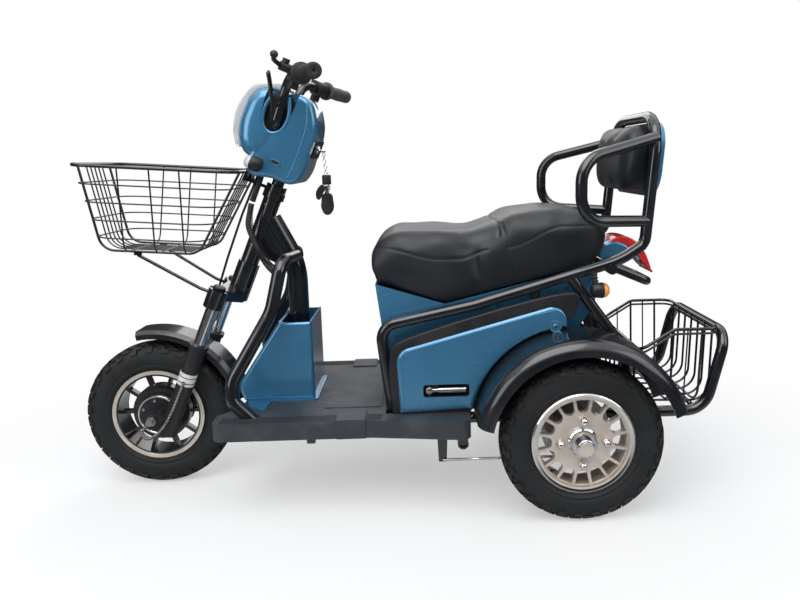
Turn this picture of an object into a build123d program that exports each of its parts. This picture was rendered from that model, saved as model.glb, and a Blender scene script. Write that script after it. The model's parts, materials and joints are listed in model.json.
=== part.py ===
from build123d import *
from math import cos, hypot, radians, sin, tan
import os

os.makedirs("parts", exist_ok=True)

# Electric mobility tricycle. Millimetres, +X forward, +Y to the rider's left, +Z up,
# origin on the ground below the middle of the whole machine. A rise is a height above the
# axles. Ahead is measured from the rear axle, back from the front axle.

# ---- wheels and stance ----
wheelbase = 1030
tyre_radius, tyre_width = 185, 78
rim_radius, rim_wall, rim_flange = 116, 6, 4
bead_inset = 10             # the beads stand this far inside the tyre's widest point
sidewall_in, sidewall_low, sidewall_mid, sidewall_high = 3, 14, 32, 18
shoulder_in, shoulder_drop, crown_half = 14, 5, 12
frame_radius = 13           # the frame's common tube
bumper_back, bumper_rise, bumper_foot_back = 368, 207, 322
bumper_bends = [50, 60, 46]
rear_reach = bumper_back + frame_radius
rear_x = (rear_reach - wheelbase - tyre_radius) / 2
front_x = rear_x + wheelbase
rear_half_track = 258
axle_radius, running_gap = 8, 0.05
seat_gap = 0.3              # between a solid and its seat on another body
past = 1                    # how far a cut runs past what it cuts
bend_spare = 0.02           # share of a tube's run that stays straight between two bends

# ---- rear wheel ----
hub_radius, hub_half = 30, 32
disc_offset, disc_sheet = 8, 14
rear_spokes, slot_out, slot_in, slot_half = 16, 99, 80, 16.5
slot_round = 12.5
nut_circle, nut_radius, nut_height, nut_count = 52, 11, 9, 4
cap_radius, cap_step, cap_height, cap_nose, cap_round = 26, 6, 12, 16, 4
plate_radius, brake_sheet, brake_gap, brake_seat = 80, 5, 14, 3
plate_arm_drop, plate_arm_out, plate_boss, plate_tip = 62, 26, 6, 14
axle_housing_radius, housing_inset = 17, 30

# ---- front wheel ----
front_spokes, front_spoke_width, front_spoke_depth = 10, 9, 16
motor_radius, motor_half, drum_half, motor_round = 66, 36, 24, 5
cover_radius, ring_half, ring_wall = 52, 12, 6
guard_half, guard_gap, guard_sheet, guard_skirt, guard_bevel = 42, 34, 3, 22, 9
guard_radius = tyre_radius + guard_gap + guard_sheet
guard_start, guard_arc = 80, 90
guard_lug_up, guard_lug_radius = 206, 7

# ---- steering geometry, in the frame of the steering axis ----
rake = 23
axis_setback = 78           # the front axle leads the steering axis by this much
leg_lead = 34               # the fork legs lead the steering axis by this much
slider_radius, tyre_clearance = 21, 6
leg_half_gap = tyre_width / 2 + tyre_clearance + slider_radius
leg_radius, leg_bore_depth = 15, 120
leg_top, seal_height, leg_foot = 352, 225, -22
seal_lip, seal_depth = 3, 10
lug_width, lug_sheet = 36, 16
nut_across, nut_sheet = 13, 9
crown_height, crown_sink, crown_wall = 24, 26, 9
head_low, head_high = 434, 640
stem_radius, stem_top = 15, 800
head_radius, cup_lip, cup_low, cup_high = 22, 5, 16, 18

# ---- handlebar ----
bar_radius = 11
riser_ahead, riser_half_gap, riser_slant = 38, 82, 6
bar_low, bar_high, riser_bends, lever_bend = 790, 912, [22, 40], 60
clamp_length, clamp_width, clamp_height, clamp_round = 76, 46, 36, 6
grip_back, grip_out, grip_up = -43, 292, 932
grip_radius, grip_length, grip_flange, flange_sheet = 16, 112, 5, 8
grip_cap = 4
perch_length, perch_wall = 22, 6
pivot_reach, pivot_radius = 46, 10
lever_radius, lever_ball, lever_ahead, lever_inset, lever_sweep = 5, 8, 80, 14, 4
mirror_hole, mirror_depth = 4, 14
pod_length, pod_wall, pod_drop, pod_radius = 30, 8, 34, 12

# ---- head housing ----
housing_low, housing_high, housing_back, housing_front = 668, 872, -60, 118
housing_half, housing_cavity, housing_round = 84, 62, 13
housing_sheet = 4
housing_chin, housing_chin_up, housing_brow_up, lens_low, lens_high = 18, 716, 800, 752, 858
housing_throat_ahead, housing_throat_up, housing_foot_ahead = 80, 704, 66
housing_heel_ahead, housing_heel_lift, housing_heel_up = -50, 12, 700
housing_crown_ahead, housing_shoulder_ahead, housing_shoulder_up = -14, -44, 850
housing_crown_lift, housing_top_ahead, housing_stem_depth = 10, 40, 60
channel_side, channel_width, channel_length, channel_sink = 68, 40, 44, 14
stem_clearance, bar_clearance = 4, 4
lens_bulge, lens_bow, lens_slope = 20, 5, 8
lamp_out, lamp_up, lamp_back, lamp_front = 108, 694, 30, 58
lamp_radius, lamp_stalk, lens_sheet = 17, 6, 12
dash_half, dash_low, dash_high, dash_sheet, dash_round = 52, 752, 798, 4, 8
key_side, key_up, key_radius, key_depth = 30, 776, 9, 10
chain_length, fob_length, fob_width, fob_sheet = 62, 50, 34, 12
tag_length, tag_width, tag_round, fob_round = 30, 22, 3, 12

# ---- cables ----
loom_radius, cable_radius = 6.5, 3
loom_ahead, loom_side = 36, 40
loom_split, loom_split_gap = 599, 6
cable_side, cable_ahead, cable_sweep = -28, 62, 36
cable_bends = [80, 60, 60, 60]
loom_turn, loom_low = (26, 50, 543), (-43, 56, 474)
loom_end_share, loom_bends = 0.3, [60, 60]

# ---- main tube, hoops and gusset ----
main_radius, hoop_radius, main_bend = 25, 16, 190
main_back, knee_rise = 366, 375
neck_back, neck_up = -14, 572
gusset_half, gusset_top, gusset_low = 18, 596, 480
hoop_lift, hoop_shoulder_lead, hoop_shoulder_side = 22, 18, 102
hoop_bend_back, hoop_bend_side, hoop_bend_rise = 322, 122, 280
hoop_nose_back, hoop_nose_side, hoop_nose_rise = 236, 182, 130
hoop_toe_side, hoop_toe_rise, hoop_foot_back, hoop_foot_rise = 190, 86, 304, 14
hoop_bends = [40, 110, 60, 36]

# ---- seat, tub and the frame beside them ----
seat_half, seat_side_gap = 156, 9
tub_half, tub_wall, tub_gap = 150, 4, 2
rail_half = seat_half + seat_side_gap + frame_radius
floor_rail_half = tub_half + tub_gap + frame_radius
floor_rail_rise = 20
lid_front_ahead, lid_front_rise = 458, 345
lid_mid_ahead, lid_mid_rise = 296, 294
lid_tail_ahead, lid_tail_rise = -58, 378
tub_low_rise, tub_foot_ahead, tub_tail_ahead, tub_tail_drop = 115, 432, 60, 93
tub_front_ahead, tub_front_rise = 446, 245
battery_length, battery_ahead, battery_inset = 300, 250, 5
seat_nose, seat_low_top, seat_high_top, seat_dip, seat_dip_ahead = 16, 118, 160, 8, 230
seat_round, seat_round_from = 22, 70
seat_dip_front, seat_step, seat_step_drop, seat_crest = 80, 100, 10, 190
seat_tail_drop, seat_tail_out, seat_tail_mid, seat_crest_drop = 24, 42, 44, 6

rail_foot_ahead, rail_foot_splay = 424, 3
rail_corner_ahead, rail_corner_rise = 448, 251
rail_mid_ahead, rail_mid_rise = 227, 296
rail_tail_ahead, rail_tail_rise = -108, 392
hoop_base_ahead, hoop_base_rise = -166, 427
back_top_ahead, back_top_rise = -192, 717
back_inset = 10             # the backrest hoop stands inside the rails by this much
arm_out, arm_front, arm_top_rise, arm_low_rise = 243, 0, 621, 489
arm_high_share, arm_low_share = 0.83, 0.18
stay_share, stay_foot_ahead = 0.65, -146
brace_foot_ahead, brace_share = 60, 0.41
grab_half, grab_reach, grab_rise, grab_bend = 62, -215, 317, 22
side_rail_bends, arm_bends, stay_bend_radius = [40, 160, 200, 34, 84], [62, 58], 60
stay_pin = 8
cross_ahead_share, cross_past, cross_drop = 0.93, 18, 12
pad_half, pad_height, pad_depth, pad_drop, pad_round = 144, 160, 66, 98, 55
plate_sheet, plate_margin, pad_edge = 9, 6, 20

# ---- footboard ----
deck_lift, deck_sheet, deck_edge, deck_wall = 4, 10, 42, 8
deck_top_rise = floor_rail_rise + frame_radius + deck_lift + deck_sheet
deck_half, deck_inner = 232, 194
deck_notch_back, deck_notch_half = guard_radius + 16, 130
deck_nose_back, deck_nose_in, deck_corner = 194, 176, 22
deck_flare_ahead, deck_tail_half = 470, 264
seat_front = 441
pad_lift, pad_margin, pad_step_half, pad_corner = 2, 12, 150, 8
deck_tail_gap = 6
clamp_ahead, clamp_span, clamp_proud, clamp_in = 519, 66, 3, 168

# ---- knee pocket ----
knee_half, knee_rear_back, knee_top_back, knee_top_rise = 86, 409, 329, 246
knee_nose_back, knee_nose_rise, knee_toe_back = 219, 84, 234
knee_nose_round, knee_top_round, knee_round = 34, 12, 11
knee_sheet, knee_flange, knee_flange_sheet = 4, 7, 4
knee_tongue_rear, knee_tongue_front, knee_tongue_half, knee_tongue_round = 302, 262, 165, 30

# ---- fenders, panels and foot pegs ----
fender_gap, fender_sheet, fender_lip, fender_drop, fender_shoulder = 51, 4, 34, 40, 30
fender_radius = tyre_radius + fender_gap + fender_sheet
fender_in = rear_half_track - tyre_width / 2 - 37
fender_out = rear_half_track + tyre_width / 2 + 21
fender_front_angle, fender_tail_angle = 12, 162
stay_angle, front_stay_angle = 122, 70
panel_out, panel_sheet, panel_round, panel_edge = 206, 4, 11, 4
panel_corner = 36            # round of the side panel's two upper corners
panel_gap, panel_arc_start, panel_arc_end = 4, 13, 86
panel_tail_ahead, panel_tail_drop, panel_front_ahead, panel_front_drop = 20, 52, 414, 60
panel_foot_ahead, boss_radius, panel_boss_in, panel_boss_up = 408, 5, 12, 30
tray_back, tray_front, tray_low, tray_high = 246, 352, 87, 117
tray_margin, tray_depth, tray_wall = 6, 18, 3
peg_pivot_ahead, peg_radius, peg_pin, peg_length, peg_half_height = 338, 7, 3, 84, 7
peg_running = 5             # between the folded peg and the floor of its tray

# ---- lamps and brackets behind and below; outlines as (ahead, rise) ----
fairing_line = [(-88, 373), (-106, 409), (-120, 417), (-150, 413), (-196, 375)]
fairing_foot = (-194, 373)
lamp_line = [(-212, 355), (-230, 335), (-216, 375), (-190, 415), (-160, 429), (-130, 426)]
fairing_half, tail_lamp_half = 48, 44
signal_side, signal_rise, signal_front, signal_back = 200, 327, -34, -62
signal_radius, signal_stalk, signal_lens = 18, 7, 14
bracket_front_drop, bracket_rear_drop, bracket_width = 48, 104, 28
bracket_front_back, bracket_rear_ahead = 410, 310
tube_end_ahead, tube_end_rise, tube_end_radius, tube_end_out = 262, -30, 13, 205
plug_depth, plug_wall = 6, 4
rod_radius = 3

# ---- baskets ----
wire_radius, rim_wire_radius, floor_wire_radius, basket_bar_radius = 1.8, 4, 2.8, 6
front_basket_length, front_basket_depth, front_basket_tilt = 376, 200, 4
front_basket_half, front_basket_low_half, front_basket_corner = 142, 108, 50
basket_back_slope, basket_front_slope = 96, 52
basket_ahead, basket_up = 78, 662
strut_radius, strut_pad, strut_ahead, strut_side = 4, 9, 240, 80
rear_basket_half, basket_gap = 164, 3
rear_basket_mid, rear_basket_front = -243, -163
rear_basket_top_rise, rear_basket_nose_rise, rear_basket_floor_rise = 220, 171, 29
rear_basket_corner, rear_basket_bends = 26, [24, 30, 26]
rear_long_bends, rear_cross_bends = [44, 30], [44, 44]
rear_long_shares = (-0.9, -0.6, -0.3, 0, 0.3, 0.6, 0.9)
rear_cross_shares, rear_thin_shares = (0.22, 0.58), (0.4, 0.78)
rear_floor_in, basket_bars_ahead = 16, (-200, -305)
rail_pair = 11              # between the two wires of the rear basket's rim
front_loops, front_loop_share = 4, 4.8
front_long_shares, front_thick_share = (-0.74, -0.37, -0.185, 0, 0.185, 0.37, 0.74), 0.5
front_cross_shares, front_long_bends, front_cross_bends = (0.32, 0.5, 0.69), [40, 40], [30, 30]
shelf_sheet, shelf_width, shelf_round, rest_sheet, rest_width = 8, 40, 6, 6, 90
strut_bend = 20



def behind(ahead, side, rise):
    # a point given by its distance ahead of the rear axle
    return (rear_x + ahead, side, tyre_radius + rise)


def before(back, side, rise):
    # a point given by its distance behind the front axle
    return (front_x - back, side, tyre_radius + rise)


def between(start, end, share):
    # the point that lies a share of the way from one point to another
    return tuple(a + share * (b - a) for a, b in zip(start, end))


def other_side(point):
    return (point[0], -point[1], point[2])


steer_origin = (
    front_x - axis_setback * cos(radians(rake)),
    0,
    tyre_radius - axis_setback * sin(radians(rake)),
)
steer = Plane(
    origin=steer_origin,
    x_dir=(cos(radians(rake)), 0, sin(radians(rake))),
    z_dir=(-sin(radians(rake)), 0, cos(radians(rake))),
)
fork_side = Plane(origin=steer_origin, x_dir=steer.x_dir, z_dir=(0, -1, 0))
body_side = Plane(origin=(rear_x, 0, tyre_radius), x_dir=(1, 0, 0), z_dir=(0, -1, 0))
ground_up = Plane.XY.offset(tyre_radius)
rear_axis = Axis(behind(0, 0, 0), (0, -1, 0))
front_axis = Axis(before(0, 0, 0), (0, -1, 0))
rear_wheel_plane = Plane(origin=behind(0, 0, 0), x_dir=(0, 1, 0), z_dir=(1, 0, 0))
front_wheel_plane = Plane(origin=before(0, 0, 0), x_dir=(0, 1, 0), z_dir=(1, 0, 0))


def on_fork(ahead, side, up):
    # a point in the steering frame
    return tuple(steer.from_local_coords((ahead, side, up)))


def fitted_bends(points, bends):
    # bend radii, eased where two arcs would meet on a short run; a little of the run stays straight
    corners = [Vector(*point) for point in points]
    turns = [0.0]
    for before_it, corner, after_it in zip(corners, corners[1:], corners[2:]):
        opening = (before_it - corner).get_angle(after_it - corner)
        turns.append(1 / tan(radians(opening / 2)))
    turns.append(0.0)
    radii = [0.0] + list(bends) + [0.0]
    eased = list(radii)
    for n in range(len(corners) - 1):
        run = (corners[n + 1] - corners[n]).length
        need = radii[n] * turns[n] + radii[n + 1] * turns[n + 1]
        if need > (1 - bend_spare) * run:
            eased[n] = min(eased[n], radii[n] * (1 - bend_spare) * run / need)
            eased[n + 1] = min(eased[n + 1], radii[n + 1] * (1 - bend_spare) * run / need)
    return eased[1:-1]


def tube(points, radius, bends, mode=Mode.ADD):
    # straight runs joined by arcs, swept with a round section
    with BuildLine() as route:
        if len(points) > 2:
            FilletPolyline(*points, radius=fitted_bends(points, bends))
        else:
            Line(*points)
    with BuildSketch(Plane(origin=route.line @ 0, z_dir=route.line % 0)) as section:
        Circle(radius)
    sweep(section.sketch, path=route.wires()[0], mode=mode)


def both_sides(points, bends):
    # a route given for the left half, carried over to the right half
    right = [other_side(point) for point in reversed(points)]
    return points + right, bends + bends[::-1]


def rod(start, end, radius, mode=Mode.ADD):
    # a plain round bar between two points
    run = Vector(*end) - Vector(*start)
    with BuildSketch(Plane(origin=start, z_dir=run)) as section:
        Circle(radius)
    extrude(section.sketch, amount=run.length, mode=mode)


def plate(plane, points, near, far, mode=Mode.ADD):
    # a flat plate between two side positions, from its outline in a side plane
    with BuildSketch(plane.offset(-far)) as face:
        with BuildLine() as outline:
            Polyline(*points, close=True)
        make_face(outline.edges())
    extrude(face.sketch, amount=far - near, mode=mode)


def in_side(point):
    # the same point as the body's side plane sees it
    return (point[0] - rear_x, point[2] - tyre_radius)


def in_plan(point):
    # the same point seen from above
    return (point[0], point[1])


def ring(plane, near, far, inner, outer):
    # a rectangle in a wheel's half section
    with BuildSketch(plane) as section:
        with Locations(((near + far) / 2, (inner + outer) / 2)):
            Rectangle(far - near, outer - inner)
    return section.sketch


# stations that several pieces share
knee = before(main_back, 0, knee_rise)
rail_foot = behind(rail_foot_ahead, floor_rail_half + rail_foot_splay, floor_rail_rise)
rail_corner = behind(rail_corner_ahead, rail_half, rail_corner_rise)
rail_mid = behind(rail_mid_ahead, rail_half, rail_mid_rise)
rail_tail = behind(rail_tail_ahead, rail_half, rail_tail_rise)
cross = between(rail_mid, rail_tail, cross_ahead_share)
cross = (cross[0], cross[1], cross[2] - cross_drop)
back_half = rail_half - back_inset
hoop_base = behind(hoop_base_ahead, back_half, hoop_base_rise)
back_top = behind(back_top_ahead, back_half, back_top_rise)
deck_top = tyre_radius + deck_top_rise
hub_in, hub_out = rear_half_track - hub_half, rear_half_track + hub_half
axle_housing_half = hub_in - housing_inset
rear_basket_back = -bumper_back + frame_radius + basket_gap
bar_rise = rear_basket_floor_rise - floor_wire_radius - basket_bar_radius


def hoop_route(side):
    # the leg hoop from the main tube over its shoulder and nose down to the floor rail
    return [
        before(main_back, hoop_radius / 2 * side, knee_rise + hoop_lift),
        before(main_back - hoop_shoulder_lead, hoop_shoulder_side * side, knee_rise + hoop_lift),
        before(hoop_bend_back, hoop_bend_side * side, hoop_bend_rise),
        before(hoop_nose_back, hoop_nose_side * side, hoop_nose_rise),
        before(hoop_nose_back, hoop_toe_side * side, hoop_toe_rise),
        before(hoop_foot_back, hoop_toe_side * side, hoop_foot_rise),
    ]


def fender_point(angle, side, depth=0):
    # a point on the fender's arc, or a depth inside it
    reach = fender_radius - depth
    return behind(reach * cos(radians(angle)), side, reach * sin(radians(angle)))


# ---- head tube, main tube and hoops ----
with BuildPart() as head_frame:
    rod(on_fork(0, 0, head_low), on_fork(0, 0, head_high), head_radius)
    rod(on_fork(0, 0, head_low), on_fork(0, 0, head_low + cup_low), head_radius + cup_lip)
    rod(on_fork(0, 0, head_high - cup_high), on_fork(0, 0, head_high), head_radius + cup_lip)
    neck = on_fork(neck_back, 0, neck_up)
    tube([neck, knee, before(main_back, 0, floor_rail_rise + frame_radius)], main_radius, [main_bend])
    plate(
        body_side,
        [
            in_side(on_fork(0, 0, gusset_top)),
            in_side(on_fork(0, 0, gusset_low)),
            in_side(before(main_back - main_radius / 2, 0, knee_rise - main_radius / 2)),
            in_side(before(main_back + main_radius / 3, 0, knee_rise + main_radius)),
        ],
        -gusset_half,
        gusset_half,
    )
    for side in (1, -1):
        tube(hoop_route(side), hoop_radius, hoop_bends)
        rod(
            before(main_back + 2 * main_radius, floor_rail_half * side, floor_rail_rise),
            before(deck_notch_back, floor_rail_half * side, floor_rail_rise),
            frame_radius,
            mode=Mode.SUBTRACT,
        )
    rod(
        before(main_back, -floor_rail_half, floor_rail_rise),
        before(main_back, floor_rail_half, floor_rail_rise),
        frame_radius,
        mode=Mode.SUBTRACT,
    )
    rod(
        on_fork(0, 0, head_low - past),
        on_fork(0, 0, head_high + past),
        stem_radius + running_gap,
        mode=Mode.SUBTRACT,
    )
head_frame.part.label = "head_frame"
export_step(head_frame.part, "parts/head_frame.step")

# ---- floor frame with axle housing, rear bumper hoop and the brackets below ----
with BuildPart() as floor_frame:
    for side in (1, -1):
        tube(
            [
                before(deck_notch_back + 2 * frame_radius, 0, floor_rail_rise),
                before(deck_notch_back + 2 * frame_radius, floor_rail_half * side, floor_rail_rise),
                behind(-bumper_foot_back, floor_rail_half * side, floor_rail_rise),
                behind(-bumper_back, floor_rail_half * side, bumper_rise),
                behind(-bumper_back, 0, bumper_rise),
            ],
            frame_radius,
            bumper_bends,
        )
    for start in (
        before(main_back, floor_rail_half, floor_rail_rise),
        behind(rail_foot_ahead, floor_rail_half, floor_rail_rise),
        behind(battery_ahead, floor_rail_half, floor_rail_rise),
        behind(tub_tail_ahead, floor_rail_half, floor_rail_rise),
    ):
        rod(start, other_side(start), frame_radius)
    for ahead in basket_bars_ahead:
        rod(
            behind(ahead, -floor_rail_half, bar_rise),
            behind(ahead, floor_rail_half, bar_rise),
            basket_bar_radius,
        )
    rod(behind(0, -axle_housing_half, 0), behind(0, axle_housing_half, 0), axle_housing_radius)
    rod(
        behind(tube_end_ahead, -tube_end_out, tube_end_rise),
        behind(tube_end_ahead, tube_end_out, tube_end_rise),
        tube_end_radius,
    )
    for side in (1, -1):
        near, far = sorted((floor_rail_half * side, (floor_rail_half + frame_radius) * side))
        for middle, drop in (
            (behind(bracket_rear_ahead, 0, 0)[0], bracket_rear_drop),
            (before(bracket_front_back, 0, 0)[0], bracket_front_drop),
        ):
            with BuildSketch(body_side.offset(-far)) as face:
                with BuildLine() as outline:
                    Polyline(
                        (middle - rear_x - bracket_width / 2, floor_rail_rise),
                        (middle - rear_x - bracket_width / 3, floor_rail_rise - drop),
                        (middle - rear_x + bracket_width / 3, floor_rail_rise - drop),
                        (middle - rear_x + bracket_width / 2, floor_rail_rise),
                        close=True,
                    )
                make_face(outline.edges())
            extrude(face.sketch, amount=far - near)
        rod(
            behind(tube_end_ahead, floor_rail_half * side, floor_rail_rise),
            behind(tube_end_ahead, floor_rail_half * side, tube_end_rise),
            tube_end_radius - 2,
        )
        rod(
            behind(tube_end_ahead, (tube_end_out - plug_depth) * side, tube_end_rise),
            behind(tube_end_ahead, (tube_end_out + past) * side, tube_end_rise),
            tube_end_radius - plug_wall,
            mode=Mode.SUBTRACT,
        )
    rod(
        behind(0, -axle_housing_half - past, 0),
        behind(0, axle_housing_half + past, 0),
        axle_radius,
        mode=Mode.SUBTRACT,
    )
floor_frame.part.label = "floor_frame"
export_step(floor_frame.part, "parts/floor_frame.step")

# ---- seat frame: side rails, backrest hoop, armrests, stays ----
with BuildPart() as seat_frame:
    rail_route, rail_bends = both_sides(
        [rail_foot, rail_corner, rail_mid, rail_tail, hoop_base, back_top], side_rail_bends
    )
    tube(rail_route, frame_radius, rail_bends)
    grab_route, grab_bends = both_sides(
        [(cross[0], grab_half, cross[2]), behind(grab_reach, grab_half, grab_rise)], [grab_bend]
    )
    tube(grab_route, frame_radius - 2, grab_bends)
    rod(
        (cross[0], -cross[1] - cross_past, cross[2]),
        (cross[0], cross[1] + cross_past, cross[2]),
        frame_radius - past,
    )
    for side in (1, -1):
        arm_high = between(hoop_base, back_top, arm_high_share)
        arm_low = between(hoop_base, back_top, arm_low_share)
        tube(
            [
                (arm_high[0], arm_high[1] * side, arm_high[2]),
                behind(arm_front, arm_out * side, arm_top_rise),
                behind(arm_front, arm_out * side, arm_low_rise),
                (arm_low[0], arm_low[1] * side, arm_low[2]),
            ],
            frame_radius,
            arm_bends,
        )
        stay_top = between(rail_mid, rail_tail, stay_share)
        stay_bend = fender_point(stay_angle, floor_rail_half * side, fender_drop / 2)
        tube(
            [
                (stay_top[0], stay_top[1] * side, stay_top[2]),
                stay_bend,
                behind(stay_foot_ahead, floor_rail_half * side, floor_rail_rise),
            ],
            frame_radius,
            [stay_bend_radius],
        )
        brace_top = between(rail_mid, rail_tail, brace_share)
        rod(
            behind(brace_foot_ahead, floor_rail_half * side, floor_rail_rise),
            (brace_top[0], (floor_rail_half + rail_foot_splay) * side, brace_top[2]),
            frame_radius - 2,
        )
        rod(stay_bend, (stay_bend[0], fender_in * side, stay_bend[2]), stay_pin)
        front_stay = fender_point(front_stay_angle, fender_in * side, fender_drop / 2)
        rod((front_stay[0], floor_rail_half * side, front_stay[2]), front_stay, stay_pin)
        boss_side = (panel_out - panel_sheet) * side
        panel_boss = behind(panel_foot_ahead - panel_boss_in, boss_side, tub_low_rise + panel_boss_up)
        rail_side = (panel_boss[0], (floor_rail_half + rail_foot_splay) * side, panel_boss[2])
        rod(rail_side, panel_boss, boss_radius)
        rod(
            (rail_foot[0] + frame_radius, rail_side[1], rail_side[2]),
            (rail_side[0] - 2 * boss_radius, rail_side[1], rail_side[2]),
            boss_radius + 1,
        )
    with BuildSketch(ground_up.offset(floor_rail_rise + frame_radius)):
        Rectangle(2 * wheelbase, 4 * rail_half)
    extrude(amount=-3 * frame_radius, mode=Mode.SUBTRACT)
seat_frame.part.label = "seat_frame"
export_step(seat_frame.part, "parts/seat_frame.step")

# ---- knee pocket: an open box around the main tube ----
with BuildPart() as knee_box:
    knee_rear = wheelbase - knee_rear_back
    knee_sides = (
        (knee_rear, deck_top_rise),
        (wheelbase - knee_toe_back, deck_top_rise),
        (wheelbase - knee_nose_back, knee_nose_rise),
        (wheelbase - knee_top_back, knee_top_rise),
        (knee_rear, knee_top_rise),
    )
    with BuildSketch(body_side) as outer:
        with BuildLine() as outline:
            Polyline(*knee_sides, close=True)
        make_face(outline.edges())
        fillet(outer.vertices().sort_by(Axis.X)[-1], knee_nose_round)
        fillet(outer.vertices().group_by(Axis.Z)[-1].sort_by(Axis.X)[-1], knee_top_round)
    extrude(outer.sketch, amount=knee_half, both=True)
    fillet(knee_box.faces().sort_by(Axis.Y)[-1].edges(), knee_round)
    fillet(knee_box.faces().sort_by(Axis.Y)[0].edges(), knee_round)
    with BuildSketch(body_side) as inner:
        with BuildLine() as inner_line:
            Polyline(
                (knee_rear + knee_sheet, deck_top_rise + knee_sheet),
                (wheelbase - knee_toe_back - 2 * knee_sheet, deck_top_rise + knee_sheet),
                (wheelbase - knee_nose_back - 3 * knee_sheet, knee_nose_rise + knee_sheet),
                (wheelbase - knee_top_back - 2 * knee_sheet, knee_top_rise + past),
                (knee_rear + knee_sheet, knee_top_rise + past),
                close=True,
            )
        make_face(inner_line.edges())
    extrude(inner.sketch, amount=knee_half - knee_sheet, both=True, mode=Mode.SUBTRACT)
    with BuildSketch(ground_up.offset(deck_top_rise)) as flange:
        with BuildLine() as foot:
            Polyline(
                in_plan(before(knee_rear_back + knee_flange, knee_half + knee_flange, 0)),
                in_plan(before(knee_tongue_rear, knee_half + knee_flange, 0)),
                in_plan(before(knee_tongue_rear, knee_tongue_half, 0)),
                in_plan(before(knee_tongue_front, knee_tongue_half - knee_tongue_round, 0)),
                in_plan(before(deck_notch_back, knee_half - knee_round, 0)),
                in_plan(before(deck_notch_back, 0, 0)),
                in_plan(before(knee_rear_back + knee_flange, 0, 0)),
                close=True,
            )
        make_face(foot.edges())
        mirror(about=Plane.XZ)
    extrude(flange.sketch, amount=knee_flange_sheet)
    fillet(knee_box.edges().filter_by(Axis.Z).group_by(SortBy.LENGTH)[0], knee_tongue_round / 3)
    rod(
        before(main_back, 0, deck_top_rise - past),
        before(main_back, 0, deck_top_rise + 2 * knee_sheet),
        main_radius + seat_gap,
        mode=Mode.SUBTRACT,
    )
knee_box.part.label = "knee_box"
export_step(knee_box.part, "parts/knee_box.step")

# ---- footboard mat over its tray ----
with BuildPart() as deck_mat:
    tail_ahead = fender_radius + deck_tail_gap
    with BuildSketch(ground_up.offset(deck_top_rise - deck_edge)) as plan:
        with BuildLine():
            Polyline(
                in_plan(before(deck_notch_back, 0, 0)),
                in_plan(before(deck_notch_back, deck_notch_half, 0)),
                in_plan(before(deck_nose_back, deck_nose_in, 0)),
                in_plan(before(deck_nose_back, deck_half, 0)),
                in_plan(behind(deck_flare_ahead, deck_half, 0)),
                in_plan(behind(tail_ahead, deck_tail_half, 0)),
                in_plan(behind(tail_ahead, deck_inner, 0)),
                in_plan(behind(seat_front, deck_inner, 0)),
                in_plan(behind(seat_front, 0, 0)),
                in_plan(before(deck_notch_back, 0, 0)),
            )
        make_face()
        mirror(about=Plane.XZ)
    extrude(amount=deck_edge)
    fillet(deck_mat.edges().filter_by(Axis.Z).group_by(Axis.X)[-1], deck_corner)
    fillet(deck_mat.edges().filter_by(Axis.Z).group_by(Axis.X)[0].sort_by(Axis.Y)[0], deck_corner)
    fillet(deck_mat.edges().filter_by(Axis.Z).group_by(Axis.X)[0].sort_by(Axis.Y)[-1], deck_corner)
    for side in (1, -1):
        clamp_middle = ((clamp_in + deck_half + clamp_proud) / 2) * side
        with BuildSketch(ground_up.offset(deck_top_rise - deck_edge)):
            with Locations((rear_x + clamp_ahead, clamp_middle)):
                Rectangle(clamp_span, deck_half + clamp_proud - clamp_in)
        extrude(amount=deck_edge + clamp_proud)
    pad_rear = behind(seat_front + pad_margin, 0, 0)[0]
    pad_front = before(knee_rear_back + knee_flange, 0, 0)[0]
    pad_front -= 2 * pad_margin
    with BuildSketch(ground_up.offset(deck_top_rise)):
        with Locations(((pad_rear + pad_front) / 2, 0)):
            RectangleRounded(pad_front - pad_rear, 2 * pad_step_half, pad_corner)
    extrude(amount=pad_lift)
    with BuildSketch(ground_up.offset(deck_top_rise - deck_edge)):
        offset(plan.sketch, amount=-deck_wall)
    extrude(amount=deck_edge - deck_sheet, mode=Mode.SUBTRACT)
    for side in (1, -1):
        tube(hoop_route(side)[-3:], hoop_radius + past, hoop_bends[-1:], mode=Mode.SUBTRACT)
        with BuildSketch(ground_up.offset(deck_top_rise - deck_edge - past)):
            with Locations((rear_x + seat_front + deck_wall / 2, side * floor_rail_half)):
                Rectangle(2 * deck_wall, 2 * frame_radius + past)
        extrude(amount=deck_edge - deck_sheet + past, mode=Mode.SUBTRACT)
    rod(
        before(main_back, 0, deck_top_rise - deck_edge - past),
        before(main_back, 0, deck_top_rise + pad_lift + past),
        main_radius + seat_gap,
        mode=Mode.SUBTRACT,
    )
deck_mat.part.label = "deck_mat"
export_step(deck_mat.part, "parts/deck_mat.step")

# ---- seat tub, closed by the seat ----
with BuildPart() as seat_tub:
    for inset, mode in ((0, Mode.ADD), (tub_wall, Mode.SUBTRACT)):
        plate(
            body_side,
            [
                (tub_foot_ahead - inset, tub_low_rise + inset),
                (tub_front_ahead - inset, tub_front_rise),
                (lid_front_ahead - inset, lid_front_rise + inset),
                (lid_mid_ahead, lid_mid_rise),
                (lid_tail_ahead + inset, lid_tail_rise),
                (lid_tail_ahead + inset, lid_tail_rise - tub_tail_drop),
                (tub_tail_ahead, tub_low_rise + inset),
            ],
            inset - tub_half,
            tub_half - inset,
            mode=mode,
        )
seat_tub.part.label = "seat_tub"
export_step(seat_tub.part, "parts/seat_tub.step")

with BuildPart() as battery:
    with BuildSketch(ground_up.offset(floor_rail_rise + frame_radius)):
        with Locations((rear_x + battery_ahead, 0)):
            Rectangle(battery_length, 2 * (tub_half - battery_inset))
    extrude(amount=tub_low_rise - seat_gap - floor_rail_rise - frame_radius)
battery.part.label = "battery"
export_step(battery.part, "parts/battery.step")

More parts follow.
